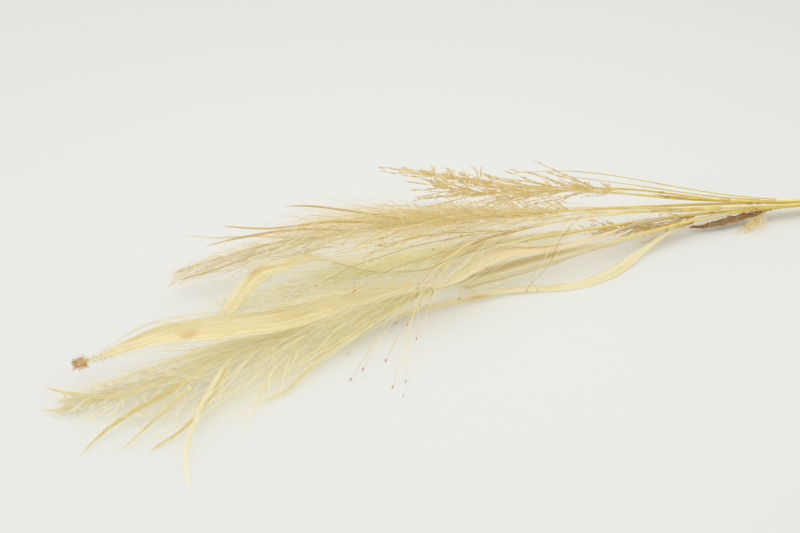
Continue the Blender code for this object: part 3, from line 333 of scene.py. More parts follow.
def piece(name, mass, look, slot, *nodes, casts=True):
    """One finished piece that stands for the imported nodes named, and whether it casts a shadow."""
    mesh = bpy.data.meshes.new(name)
    verts = (np.vstack(mass.verts) + CENTRE) * MM
    tris = np.vstack(mass.faces[3])
    quads = np.vstack(mass.faces[4])
    corners = np.concatenate([tris.ravel(), quads.ravel()])
    sizes = np.concatenate([np.full(len(tris), 3), np.full(len(quads), 4)])
    mesh.vertices.add(len(verts))
    mesh.vertices.foreach_set("co", verts.ravel())
    mesh.loops.add(len(corners))
    mesh.loops.foreach_set("vertex_index", corners.astype(np.int32))
    mesh.polygons.add(len(sizes))
    mesh.polygons.foreach_set("loop_start", np.concatenate([[0], np.cumsum(sizes)[:-1]]).astype(np.int32))
    mesh.polygons.foreach_set("loop_total", sizes.astype(np.int32))
    mesh.update(calc_edges=True)
    for attribute, values in (("grain", mass.grain), ("shade", mass.shade)):
        made = mesh.attributes.new(attribute, "FLOAT_VECTOR", "POINT")
        made.data.foreach_set("vector", np.vstack(values).astype(np.float32).ravel())
    smooth = np.concatenate(mass.round[3] + mass.round[4])
    mesh.polygons.foreach_set("use_smooth", smooth)
    mesh.materials.append(look)
    thing = bpy.data.objects.new(name, mesh)
    bpy.context.scene.collection.objects.link(thing)
    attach(thing, "root")
    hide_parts(*nodes)
    thing.visible_shadow = casts


# Materials

NOISE_ROUGHNESS = 0.55


def srgb(red, green, blue):
    """A colour given as it shows on a screen, from 0 to 255, for the shader."""
    values = np.array([red, green, blue]) / 255.0
    low = values / 12.92
    high = ((values + 0.055) / 1.055) ** 2.4
    return (*np.where(values <= 0.04045, low, high), 1.0)


class Look:
    """One material's nodes, put together step by step."""

    def __init__(self, name, roughness, specular=0.35):
        self.material = bpy.data.materials.new(name)
        self.material.use_nodes = True
        self.tree = self.material.node_tree
        self.shader = self.tree.nodes["Principled BSDF"]
        self.shader.inputs["Roughness"].default_value = roughness
        self.shader.inputs["Specular IOR Level"].default_value = specular

    def set(self, socket, value):
        """Links a socket's input, or sets its value."""
        if isinstance(value, bpy.types.NodeSocket):
            self.tree.links.new(value, socket)
        else:
            socket.default_value = value

    def place(self, scale):
        """The straightened place, stretched by a scale along and across."""
        grain = self.tree.nodes.new("ShaderNodeAttribute")
        grain.attribute_name = "grain"
        stretched = self.tree.nodes.new("ShaderNodeMapping")
        self.tree.links.new(grain.outputs["Vector"], stretched.inputs["Vector"])
        stretched.inputs["Scale"].default_value = scale
        return stretched.outputs["Vector"]

    def shade(self):
        """The tint, the share of the length and the mark, one socket each."""
        shade = self.tree.nodes.new("ShaderNodeAttribute")
        shade.attribute_name = "shade"
        split = self.tree.nodes.new("ShaderNodeSeparateXYZ")
        self.tree.links.new(shade.outputs["Vector"], split.inputs[0])
        return split.outputs["X"], split.outputs["Y"], split.outputs["Z"]

    def noise(self, scale, detail=3.0):
        """Noise in the straightened piece, from nought to one."""
        node = self.tree.nodes.new("ShaderNodeTexNoise")
        self.tree.links.new(self.place(scale), node.inputs["Vector"])
        node.inputs["Scale"].default_value = 1.0
        node.inputs["Detail"].default_value = detail
        node.inputs["Roughness"].default_value = NOISE_ROUGHNESS
        return node.outputs["Fac"]

    def math(self, operation, a, b=0.0, clamp=False):
        """One sum of two values."""
        node = self.tree.nodes.new("ShaderNodeMath")
        node.operation = operation
        node.use_clamp = clamp
        self.set(node.inputs[0], a)
        self.set(node.inputs[1], b)
        return node.outputs[0]

    def window(self, value, low, high):
        """Nought below low, one above high, and smooth between them."""
        node = self.tree.nodes.new("ShaderNodeMapRange")
        node.interpolation_type = "SMOOTHSTEP"
        self.set(node.inputs["Value"], value)
        node.inputs["From Min"].default_value = low
        node.inputs["From Max"].default_value = high
        return node.outputs["Result"]

    def mix(self, factor, a, b):
        """A colour part-way between two."""
        node = self.tree.nodes.new("ShaderNodeMix")
        node.data_type = "RGBA"
        first, second = [socket for socket in node.inputs if socket.type == "RGBA"]
        self.set(node.inputs["Factor"], factor)
        self.set(first, a)
        self.set(second, b)
        return [socket for socket in node.outputs if socket.type == "RGBA"][0]

    def tinge(self, colour, value, low, high, strength, other):
        """The colour, mixed with another where a value rises from low to high."""
        return self.mix(self.math("MULTIPLY", self.window(value, low, high), strength), colour, other)

    def stain(self, colour, mark, strength, other):
        """The colour, mixed with another as far as it is marked."""
        return self.mix(self.math("MULTIPLY", mark, strength, True), colour, other)

    def finish(self, colour, rough=None, height=None, depth=0.05, strength=0.4):
        """Links colour, roughness and bump, and hands over the material."""
        self.set(self.shader.inputs["Base Color"], colour)
        if rough is not None:
            self.set(self.shader.inputs["Roughness"], rough)
        if height is not None:
            bump = self.tree.nodes.new("ShaderNodeBump")
            bump.inputs["Distance"].default_value = depth * MM
            bump.inputs["Strength"].default_value = strength
            self.set(bump.inputs["Height"], height)
            self.tree.links.new(bump.outputs["Normal"], self.shader.inputs["Normal"])
        return self.material


# Where the stalks run

def stations_of(way):
    """Y and Z of a way at every station along X."""
    line = smooth(way, 400)
    order = np.argsort(line[:, 0])
    return (lambda x: np.stack([np.interp(x, line[order, 0], line[order, k]) for k in (1, 2)], axis=1))


def stalk_radius(x, size, head, tip):
    """Radius along a stalk: nearly even to the head, then down to a fine tip."""
    body = STALK_RADIUS + (HEAD_RADIUS - STALK_RADIUS) * (CUT_END_X - x) / (CUT_END_X - head)
    fade = np.clip((head - x) / max(head - tip, 1.0), 0.0, 1.0)
    return size * np.where(x >= head, body, HEAD_RADIUS * (1 - 0.62 * fade))


def settled_stalks():
    """Every stalk's line and radii, eased apart wherever two would touch."""
    x = np.arange(-380.0, CUT_END_X + 1, STATION_STEP)
    stalks = {}
    for name, stalk in STALKS.items():
        across, lift = stalk["slot"]
        start = [(bx, by + across * STALK_PITCH, bz + lift * STALK_PITCH) for bx, by, bz in BUNCH]
        way = start + stalk["way"]
        place = stations_of(way)(x)
        tip = way[-1][0]
        live = (x >= tip) & (x <= stalk["cut"])
        stalks[name] = [place, stalk_radius(x, stalk["size"], stalk["head"], tip), live]
    for name, stalk in SIDE_STALKS.items():
        way = stalk["way"]
        live = (x >= way[-1][0]) & (x <= stalk["start"])
        stalks[name] = [stations_of(way)(x), np.full(len(x), SIDE_RADIUS), live]
    names = list(stalks)
    for step in range(SETTLE_ROUNDS):
        for i, first in enumerate(names):
            for second in names[i + 1:]:
                a, ra, la = stalks[first]
                b, rb, lb = stalks[second]
                apart = b - a
                far = np.linalg.norm(apart, axis=1) + 1e-6
                short = np.where(la & lb, np.maximum(ra + rb + GAP * 1.3 - far, 0.0), 0.0)
                push = apart / far[:, None] * short[:, None] * 0.5
                stalks[first][0] = a - push
                stalks[second][0] = b + push
        for name in names:
            place, radius, live = stalks[name]
            if step < SMOOTH_ROUNDS:
                inner = live[1:-1] & live[:-2] & live[2:]
                mean = 0.25 * place[:-2] + 0.5 * place[1:-1] + 0.25 * place[2:]
                place[1:-1] = np.where(inner[:, None], 0.6 * place[1:-1] + 0.4 * mean, place[1:-1])
            place[:, 1] = np.maximum(place[:, 1], radius)
    lines = {}
    for name in names:
        place, radius, live = stalks[name]
        keep = np.nonzero(live)[0][::-1]
        line = np.column_stack([x[keep], place[keep]])
        lines[name] = (line, radius[keep])
    return lines


def cut_line(line, radii, from_x, to_x, step):
    """The run of a stalk between two places along X, in steps of about the given length."""
    x = line[:, 0]
    length = abs(from_x - to_x)
    at = np.linspace(from_x, to_x, max(3, int(round(length / step)) + 1))
    order = np.argsort(x)
    points = np.column_stack([at] + [np.interp(at, x[order], line[order, k]) for k in (1, 2)])
    sizes = np.interp(at, x[order], radii[order])
    return points, sizes


# Stalks

# Where each stalk has a joint, along X, and how green its straw is
CULM_JOINTS = {
    "front": (152, 286), "middle": (118, 312), "rear": (92, 236),
    "spray": (112, 262), "top": (80, 210), "back": (150, 334)}
CULM_TINTS = {"front": 0.15, "middle": 0.55, "rear": 0.7, "spray": 0.9, "top": 0.35, "back": 0.5}
JOINT_SWELL = 0.2
JOINT_LENGTH = 1.5
SHEATH_RUN = 70.0
SHEATH_SWELL = 0.07
CULM_STEP = 1.6
CULM_SIDES = 16
CULM_RIBS = 0.035
CULM_CLEARANCE = 0.02
SIDE_STEP = 2.0
SIDE_SIDES = 9
LOOSE_FIBRES = 46
LOOSE_START = 50


def straw_look():
    """Glossy straw: streaks along the stalk, greener and ambered stretches, brown joints."""
    look = Look("straw", 0.42)
    tint, _, mark = look.shade()
    streak = look.noise((0.012, 1.6, 1.6), 4.0)
    stretch = look.noise((0.022, 0.12, 0.12), 3.0)
    fleck = look.noise((0.35, 1.4, 1.4), 2.0)
    colour = look.mix(look.window(streak, 0.36, 0.66), srgb(250, 231, 136), srgb(238, 208, 98))
    colour = look.tinge(colour, tint, 0.2, 1.0, 0.5, srgb(232, 220, 148))
    colour = look.tinge(colour, stretch, 0.52, 0.74, 0.55, srgb(220, 178, 88))
    colour = look.tinge(colour, fleck, 0.66, 0.76, 0.5, srgb(170, 126, 66))
    colour = look.stain(colour, mark, 0.75, srgb(176, 128, 62))
    rough = look.math("ADD", look.math("MULTIPLY", stretch, 0.22), 0.32)
    return look.finish(colour, rough, look.noise((0.02, 3.5, 3.5), 3.0), 0.12, 0.5)


def culm_marks(x, joints):
    """How swollen and how marked a stalk is at each place along X."""
    swell = np.zeros_like(x)
    mark = np.zeros_like(x)
    for joint in joints:
        near = np.exp(-((x - joint) / JOINT_LENGTH) ** 2)
        swell += JOINT_SWELL * near
        sheath = np.clip((joint - x) / JOINT_LENGTH, 0, 1) * (x > joint - SHEATH_RUN)
        swell += SHEATH_SWELL * sheath
        mark += 0.8 * near + 0.25 * np.exp(-((x - joint + SHEATH_RUN) / 3.0) ** 2)
    return swell, np.clip(mark, 0, 1)


def loose_fibres(mass, points, sizes, rng):
    """Fine fibres that have split off a stalk, mostly short, pointing to its head."""
    ahead = directions(points)
    at = rng.integers(LOOSE_START, len(points) - 4, LOOSE_FIBRES)
    out = around(rng, ahead[at])
    root = points[at] + out * sizes[at][:, None] * 0.8
    size = rng.uniform(2.0, 6.0, LOOSE_FIBRES) + 7.0 * (rng.random(LOOSE_FIBRES) < 0.15)
    way = unit(ahead[at] + out * rng.uniform(0.15, 0.7, LOOSE_FIBRES)[:, None])
    tip = root + way * size[:, None]
    middle = root + ahead[at] * size[:, None] * 0.4 + out * 0.3
    line = above_table(np.stack([root, middle, tip], axis=1), 0.2)
    thick = rng.uniform(0.08, 0.17, LOOSE_FIBRES)[:, None] * np.array([1.0, 0.8, 0.2])
    rods(mass, line, thick, 3, rng.random(LOOSE_FIBRES), np.zeros(LOOSE_FIBRES))


def build_stalks(lines, straw):
    """The six culms and the two thin side stalks."""
    rng = np.random.default_rng(2)
    for name, stalk in STALKS.items():
        points, sizes = cut_line(*lines[name], stalk["cut"], stalk["head"], CULM_STEP)
        swell, mark = culm_marks(points[:, 0], CULM_JOINTS[name])
        t = np.linspace(0, 1, len(points))
        sizes = sizes * (1 + swell + wander(rng, t, 0.012, 5))
        mass = Mass()
        stem(mass, points, sizes, CULM_SIDES, CULM_TINTS[name], mark, CULM_RIBS, cut=True)
        loose_fibres(mass, points, sizes, rng)
        mass.verts = [above_table(v, CULM_CLEARANCE) for v in mass.verts]
        piece("straw_culm_" + name, mass, straw, "straw", "culm_" + name)
    for name in SIDE_STALKS:
        line, radii = lines[name]
        points, sizes = cut_line(line, radii, line[0, 0], line[-1, 0], SIDE_STEP)
        t = np.linspace(0, 1, len(points))
        sizes = sizes * np.interp(t, [0, 0.7, 1], [1.0, 0.7, 0.4]) * (1 + wander(rng, t, 0.05, 4))
        mass = Mass()
        stem(mass, points, sizes, SIDE_SIDES, 1.0, np.clip(wander(rng, t, 0.2, 3), 0, 0.3))
        piece("straw_stalk_" + name, mass, straw, "straw", "stalk_" + name)


# Leaves

def upright(ahead, aims):
    """The directions nearest to the aims that stand square to the way ahead."""
    return unit(aims - ahead * np.sum(aims * ahead, axis=1, keepdims=True))


def opening(ahead, degrees):
    """The way a leaf's section opens: 0 is away from the viewer, 90 is up, 180 is to the front."""
    turn = np.radians(degrees)[:, None]
    aim = np.cos(turn) * np.array([0.0, 1.0, 0.0]) + np.sin(turn) * np.array([0.0, 0.0, 1.0])
    return upright(ahead, aim)


def gutter_on(line, radii, from_x, to_x, count, degrees, extra=0.0):
    """Where the middle of a sheath runs when it hugs a stalk, and how far from the stalk's axis."""
    points, sizes = cut_line(line, radii, from_x, to_x, abs(from_x - to_x) / (count - 1))
    reach = sizes + GAP + 0.06 + SOLID_BLADE / 2
    ups = opening(directions(points), degrees)
    return points - ups * (reach + extra)[:, None], ups, reach


# Each leaf hugs its stalk between two places along X, then runs free to its tip. Half
# widths, half turns, fold heights and openings are given at equal steps of each part; a
# half width of nought there means a sheath that hugs the stalk closely.
LEAVES = {
    "leaf_broad": dict(
        stalk="front", hug=(70, -96), hug_count=12, count=17, wave=0.35,
        hug_open=[75, 65, 40, 0, -14, -17, -17, -12],
        hug_turn=[1.8, 1.8, 1.7, 0.9, 0.3, 0.15, 0.15, 0.15],
        hug_width=[0, 0, 3.2, 4.2, 5.2, 5.7, 5.9, 6.0],
        hug_crease=[0, 0, 0.2, 2.0, 3.2, 3.4, 3.3, 3.0],
        hug_extra=[0, 0, 0.3, 0.9, 1.1, 1.1, 1.3, 1.5],
        way=[(-118, 1.5, 19.5), (-131, 2, 21.5), (-148, 6, 22.3), (-177, 9, 23), (-206, 8, 23.8),
             (-233, 8, 24), (-257, 13, 24), (-281, 20, 23.5), (-301, 27, 22), (-323, 31, 18),
             (-342, 33, 15), (-358, 36, 12)],
        half_width=[5.2, 4.6, 4.2, 4.2, 4.4, 4.8, 5.2, 5.8, 6.6, 7.2, 7.8, 8.0, 8.2, 8.4, 8.6, 8.7,
                    8.5, 7.8, 6.8, 5.3, 3.4, 1.6, 3.0],
        half_turn=[0.2, 0.3, 0.4, 0.4, 0.4, 0.45, 0.5, 0.6, 0.7, 0.8, 0.6, 0.5],
        crease=[2.8, 2.4, 1.9, 1.5, 1.2, 1.0, 0.9, 0.8, 0.6, 0.4, 0.2, 0.3],
        open=[5, 45, 75, 98, 112, 120, 122, 120, 115, 108, 98, 90]),
    "leaf_low": dict(
        stalk="front", hug=(130, 97), hug_count=5, count=21, wave=0.0,
        hug_open=[30, 50, 75], hug_turn=[1.7, 1.9, 1.9], hug_width=[0, 0, 0],
        hug_crease=[0, 0, 0], hug_extra=[0, 0, 0],
        way=[(77, 7, 8.6), (60, 4, 6.4), (44, 0, 4), (24, -6, 1.2), (8, -10, 0.31), (-8, -11.5, 0.31),
             (-24, -10.5, 0.31), (-40, -6, 0.31), (-56, -1.5, 0.8), (-73, 2, 1.8), (-92, 3, 2.8),
             (-111, 3.5, 3.6), (-127, 4, 4.4), (-142, 3.5, 5.4), (-154, 2, 6.2)],
        half_width=[2.0, 1.6, 1.9, 4.0, 5.2, 4.8, 4.4, 3.6, 3.2, 3.0, 2.8, 2.2, 0.8],
        half_turn=[1.2, 0.8, 0.4, 0.1, 0.0, 0.0, 0.0, 0.4, 0.8, 0.9, 0.9, 0.8, 0.4],
        crease=[0.0, 0.4, 0.3, 0.0, 0.0, 0.0, 0.0, 0.2, 0.5, 0.6, 0.6, 0.5, 0.1],
        open=[84, 100, 104, 92, 90, 90, 90, 95, 105, 112, 112, 105, 95]),
    "leaf_mid": dict(
        stalk="middle", hug=(76, 54), hug_count=4, count=16, wave=0.3,
        hug_open=[20, 15], hug_turn=[1.4, 1.2], hug_width=[0, 0], hug_crease=[0, 0], hug_extra=[0, 0.2],
        way=[(36, 14, 17.6), (18, 8, 21.2), (0, 5, 22.8), (-24, 6, 23.4), (-42, 8, 24.4),
             (-60, 13, 25.4), (-78, 11.5, 26.8), (-97, 4, 27.6), (-115, -3, 27), (-130, -4, 25.5)],
        half_width=[2.8, 2.4, 2.2, 2.2, 2.6, 3.6, 5.2, 5.4, 3.6, 0.8],
        half_turn=[1.2, 1.0, 0.8, 0.8, 0.7, 0.5, 0.4, 0.4, 0.4, 0.3],
        crease=[0.0, 0.3, 0.4, 0.4, 0.5, 0.6, 0.6, 0.5, 0.3, 0.1],
        open=[20, 60, 92, 98, 105, 120, 136, 140, 130, 120]),
    "leaf_folded": dict(
        stalk="middle", hug=(-40, -82), hug_count=5, count=18, wave=0.25,
        hug_open=[10, 15], hug_turn=[1.4, 1.2], hug_width=[0, 0], hug_crease=[0, 0], hug_extra=[0, 0.2],
        way=[(-104, 25, 22.6), (-124, 22, 23), (-145, 27, 24.5), (-162, 35, 26), (-176, 46, 29.5),
             (-188, 54, 31), (-200, 57, 30.5), (-213, 59, 28.5), (-225, 60, 27), (-235, 56, 24),
             (-246, 49, 21), (-256, 41, 18), (-265, 35, 14.5)],
        half_width=[2.7, 2.5, 2.4, 2.4, 2.6, 3.0, 3.6, 4.6, 5.2, 5.4, 5.2, 4.6, 3.4],
        half_turn=[1.3, 1.0, 0.7, 0.5, 0.4, 0.35, 0.3, 0.3, 0.3, 0.3, 0.3, 0.3, 0.3],
        crease=[0.0, 0.4, 0.5, 0.5, 0.5, 0.5, 0.5, 0.6, 0.7, 0.7, 0.6, 0.5, 0.4],
        open=[22, 45, 58, 56, 52, 52, 58, 75, 96, 108, 112, 112, 110]),
}


def spread(values, count):
    """Values given at equal steps, read at count places."""
    return np.interp(np.linspace(0, 1, count), np.linspace(0, 1, len(values)), values)


FINE = 8
LEAF_ROWS = 27
LEAF_THICKNESS = 0.3
LEAF_CLEARANCE = 0.05
VEIN_HEIGHT = 0.05
VEINS = 7
# Where a leaf begins to wither, and its width towards the tip, as shares of its length
WITHER_START = 0.965
TIP_SHARES = (0, 0.975, 0.99, 1)
TIP_WIDTHS = (1, 1, 0.6, 0.15)
CURL_STATIONS = 8

# Marked places on each leaf: place along X, across from -1 to 1, length, breadth and strength.
# A strength above nought is ambered or browned. A strength below nought is olive: painted shade on the
# down-facing half of a folded leaf, partly the leaf's own darker underside.
MARKS_AND_PAINTED_SHADE = {
    "leaf_broad": [(-287, -0.15, 8, 0.55, 0.62), (-322, 0.1, 10, 0.8, 0.4), (-356, 0, 8, 2, 1.0),
                   (-232, 0.9, 30, 0.25, 0.5), (-150, 0.0, 40, 0.12, 0.5), (20, 0.0, 30, 0.15, 0.5),
                   (-70, -0.6, 75, 0.45, -0.9), (-150, -0.75, 30, 0.3, -0.6)],
    "leaf_low": [(-91, -0.2, 16, 0.7, 0.6), (-41, 0.2, 6, 0.6, 0.35), (100, 0, 22, 2, 0.3),
                 (-150, 0, 6, 2, 0.6)],
    "leaf_mid": [(-85, 0.9, 40, 0.35, -0.5), (-50, 0.6, 40, 0.3, 0.75), (-90, -0.9, 20, 0.3, 0.5),
                 (-128, 0, 6, 2, 0.6), (10, 0, 30, 0.3, 0.4)],
    "leaf_folded": [(-226, 0.8, 9, 0.5, 0.7), (-200, 0.9, 30, 0.3, 0.5), (-264, 0, 5, 2, 0.4)],
}
KNOB_CURLS = {"leaf_broad": 170, "leaf_low": 0, "leaf_mid": 0, "leaf_folded": 10}
FRAYED_FIBRES = {"leaf_broad": 90, "leaf_low": 14, "leaf_mid": 12, "leaf_folded": 16}
LEAF_TINTS = {"leaf_broad": 0.3, "leaf_low": 0.8, "leaf_mid": 1.0, "leaf_folded": 0.1}


def leaf_look():
    """Papery leaf: fine veins along it, pale and straw streaks, amber and brown where marked, and olive
    painted shade on the down-facing side of a fold.
    """
    look = Look("leaf", 0.55, 0.3)
    tint, _, mark = look.shade()
    vein = look.noise((0.006, 3.2, 0.2), 2.0)
    band = look.noise((0.012, 0.55, 0.2), 3.0)
    cloud = look.noise((0.05, 0.12, 0.2), 3.0)
    colour = look.mix(look.window(band, 0.34, 0.68), srgb(243, 235, 200), srgb(228, 213, 160))
    colour = look.tinge(colour, tint, 0.4, 0.9, 0.4, srgb(238, 233, 196))
    colour = look.tinge(colour, tint, 0.9, 0.95, 0.65, srgb(236, 216, 176))
    # Marks below nought paint olive shade on the down-facing half of a fold, partly the leaf's own darker
    # underside.
    painted_shade = look.math("MULTIPLY", mark, -1.0)
    colour = look.tinge(colour, painted_shade, 0.1, 0.8, 0.75, srgb(184, 160, 100))
    colour = look.tinge(colour, cloud, 0.5, 0.75, 0.4, srgb(226, 202, 138))
    colour = look.tinge(colour, vein, 0.5, 0.7, 0.5, srgb(208, 184, 120))
    grown = look.math("ADD", mark, look.math("MULTIPLY", look.math("SUBTRACT", cloud, 0.5), 0.7))
    colour = look.tinge(colour, grown, 0.2, 0.75, 0.8, srgb(214, 170, 98))
    colour = look.tinge(colour, grown, 0.8, 1.1, 0.7, srgb(160, 106, 52))
    rough = look.math("ADD", look.math("MULTIPLY", band, 0.2), 0.45)
    return look.finish(colour, rough, vein, 0.1, 0.5)


def leaf_frame(lines, leaf):
    """The middle line of a leaf, its sides and openings, and its section's sizes."""
    line, radii = lines[leaf["stalk"]]
    near = (leaf["hug_count"] - 1) * FINE + 1
    extra = spread(leaf["hug_extra"], near)
    hug, ups, reach = gutter_on(line, radii, *leaf["hug"], near, spread(leaf["hug_open"], near), extra)
    free = smooth([tuple(hug[-1 - FINE]), tuple(hug[-1])] + leaf["way"], 1200)
    start = int(np.argmin(np.linalg.norm(free - hug[-1], axis=1)))
    count = leaf["count"] * FINE
    free = even(free[start:], count + 1)[1:]
    lying = (free[:, 0] < 10) & (free[:, 0] > -42) & (free[:, 2] < 1.1)
    free[lying, 2] = LEAF_THICKNESS / 2 + LEAF_CLEARANCE
    whole = np.vstack([hug, free])
    open_to = opening(directions(whole), np.concatenate([np.zeros(near), spread(leaf["open"], count)]))
    open_to[:near] = ups
    turns = np.concatenate([spread(leaf["hug_turn"], near), spread(leaf["half_turn"], count)])
    widths = np.maximum(spread(leaf["hug_width"], near), reach * spread(leaf["hug_turn"], near))
    halves = np.concatenate([widths, spread(leaf["half_width"], count)])
    creases = np.concatenate([spread(leaf["hug_crease"], near), spread(leaf["crease"], count)])
    swing = np.sin(np.linspace(0, leaf["count"], count) * 1.9) * leaf["wave"] * np.linspace(0, 1, count)
    waves = np.concatenate([np.zeros(near), swing])
    flat = np.concatenate([np.zeros(near, bool), lying])
    open_to[flat] = (0.0, 0.0, 1.0)
    ease = np.where(flat, 0.15, 1.0)
    return whole, open_to, halves, turns * ease, creases * ease, waves * ease


def leaf_section(place, half, turn, crease, wave):
    """How far out and up each row of a leaf's section lies."""
    curl = np.maximum(turn, 0.01)[:, None]
    radius = half[:, None] / curl
    out = radius * np.sin(place * curl)
    rise = radius * (1 - np.cos(place * curl))
    soft = np.sqrt(place**2 + 0.004)
    return out, rise + soft * crease[:, None] + wave[:, None] * place**2


def build_leaf(name, leaf, lines, look, seed):
    """One leaf: sheath and blade in one, with veins, a frayed edge and a withered tip."""
    rng = np.random.default_rng(seed)
    whole, ups, halves, turns, creases, waves = leaf_frame(lines, leaf)
    ups = upright(directions(whole), ups)
    sides = np.cross(directions(whole), ups)
    t = np.linspace(0, 1, len(whole))
    halves = halves * np.interp(t, TIP_SHARES, TIP_WIDTHS)
    place = np.linspace(-1, 1, LEAF_ROWS)[None]
    waves = waves + wander(rng, t, 0.16, 9) * np.clip(t * 3, 0, 1)
    out, rise = leaf_section(place, halves, turns, creases, waves)
    left = wander(rng, t, 0.03, 14)[:, None]
    right = wander(rng, t, 0.03, 17)[:, None]
    out = out * (1 + np.where(place < 0, left, right) * place**4)
    vein = np.cos(place * math.pi * VEINS) * VEIN_HEIGHT * np.clip(halves / 5, 0, 1)[:, None]
    rise = rise + vein * (1 - place**6)
    withered = np.clip((t - WITHER_START) / (1 - WITHER_START), 0, 1)[:, None]
    crumple = np.sin(place * 9 + t[:, None] * 160) + 0.6 * np.cos(t[:, None] * 420 + place * 4)
    rise = rise + withered * crumple * 0.5
    # Amber and brown blotches, and olive painted shade where a strength is below nought.
    mark = np.zeros(out.shape)
    x = whole[:, 0][:, None]
    for where, across, length, breadth, strength in MARKS_AND_PAINTED_SHADE[name]:
        spot = np.exp(-((x - where) / length) ** 2 - ((place - across) / breadth) ** 2)
        mark = np.where(spot * abs(strength) > np.abs(mark), spot * strength, mark)
    mass = Mass()
    ribbon(mass, whole, sides, ups, out, rise, LEAF_THICKNESS, mark, LEAF_TINTS[name])
    mass.verts = [above_table(v, LEAF_CLEARANCE) for v in mass.verts]
    frayed_tip(mass, whole, sides, ups, halves, rng, name)
    piece("dry_" + name, mass, look, "leaf", name, casts=False)


def frayed_tip(mass, whole, sides, ups, halves, rng, name):
    """Short fibres where the tip of a leaf has withered and split."""
    count = FRAYED_FIBRES[name]
    at = rng.integers(len(whole) - 14, len(whole) - 1, count)
    across = rng.uniform(-1, 1, count)[:, None]
    root = whole[at] + sides[at] * across * halves[at][:, None] * 0.9
    ahead = directions(whole)[at]
    way = unit(ahead * rng.uniform(-0.2, 0.9, count)[:, None] + sides[at] * across * 1.2
               + ups[at] * rng.normal(0.1, 0.5, count)[:, None])
    size = rng.uniform(1.5, 4.5, count)[:, None]
    curl = around(rng, way) * size * 0.35
    line = above_table(np.stack([root, root + way * size * 0.5, root + way * size + curl], axis=1))
    thick = rng.uniform(0.09, 0.2, count)[:, None] * np.array([1.0, 0.8, 0.2])
    rods(mass, line, thick, 3, rng.random(count), np.ones(count), np.full((count, 3), 0.85))
    if KNOB_CURLS[name]:
        knob = curls(whole[-4:-1], rng, KNOB_CURLS[name], (3.0, 7.0), (1.0, 1.1, 0.9))
        sizes = rng.uniform(0.2, 0.38, len(knob))[:, None] * np.linspace(1, 0.5, CURL_STATIONS)
        rods(mass, knob, sizes, 3, rng.random(len(knob)), np.ones(len(knob)),
             rng.uniform(0.3, 0.9, len(knob))[:, None].repeat(CURL_STATIONS, 1))


# Each sheath hugs its stalk between two places along X, open in a direction in degrees
SHEATHS = {"sheath_top": ("top", 132, 70, -107.0), "sheath_spray": ("spray", 120, 62, -31.0)}
SHEATH_HALF_TURN = 1.3
SHEATH_STATIONS = 60
SHEATH_ROWS = 17
SHEATH_THICKNESS = 0.22


def build_sheath(name, lines, look):
    """A short dry sheath hugging a stalk, narrower and less curled where it ends."""
    rng = np.random.default_rng(len(name))
    stalk, from_x, to_x, degrees = SHEATHS[name]
    count = SHEATH_STATIONS
    middle, ups, reach = gutter_on(*lines[stalk], from_x, to_x, count, np.full(count, degrees))
    ahead = directions(middle)
    sides = np.cross(ahead, ups)
    t = np.linspace(0, 1, count)
    place = np.linspace(-1, 1, SHEATH_ROWS)[None]
    turns = np.full(count, SHEATH_HALF_TURN) * (1 - 0.35 * t**3)
    halves = reach * turns * np.interp(t, [0, 0.85, 1], [1, 0.9, 0.45])
    out, rise = leaf_section(place, halves, turns, np.zeros(count), wander(rng, t, 0.12, 6))
    mark = np.broadcast_to((0.25 + 0.5 * t**2 + wander(rng, t, 0.2, 3))[:, None], out.shape)
    mass = Mass()
    ribbon(mass, middle, sides, ups, out, rise, SHEATH_THICKNESS, np.clip(mark, 0, 1), 0.4)
    piece("dry_" + name, mass, look, "straw", name)


def husk_look():
    """Dark dried sheath: brown with grey bloom and paler ribs."""
    look = Look("husk", 0.72, 0.2)
    _, share, _ = look.shade()
    rib = look.noise((0.02, 2.4, 0.3), 3.0)
    bloom = look.noise((0.14, 0.3, 0.3), 4.0)
    colour = look.mix(look.window(rib, 0.35, 0.65), srgb(186, 152, 104), srgb(160, 120, 76))
    colour = look.tinge(colour, bloom, 0.45, 0.65, 0.65, srgb(198, 180, 140))
    colour = look.tinge(colour, share, 0.75, 0.95, 0.8, srgb(186, 122, 66))
    return look.finish(colour, None, rib, 0.2, 0.6)


# The husk hugs the middle stalk between two places along X, then curls away under the bunch
HUSK = dict(
    hug=(176, 163), hug_stations=13, stations=90, rows=21,
    way=[(152, 4, 5.6), (138, 5.5, 4.6), (124, 6.5, 3.8), (110, 8.5, 3.4), (98, 13, 3.2)],
    half_width=[2.2, 3.0, 3.8, 3.8, 2.6, 0.8],
    half_turn=[0.9, 0.7, 0.8, 1.1, 1.2, 0.8])


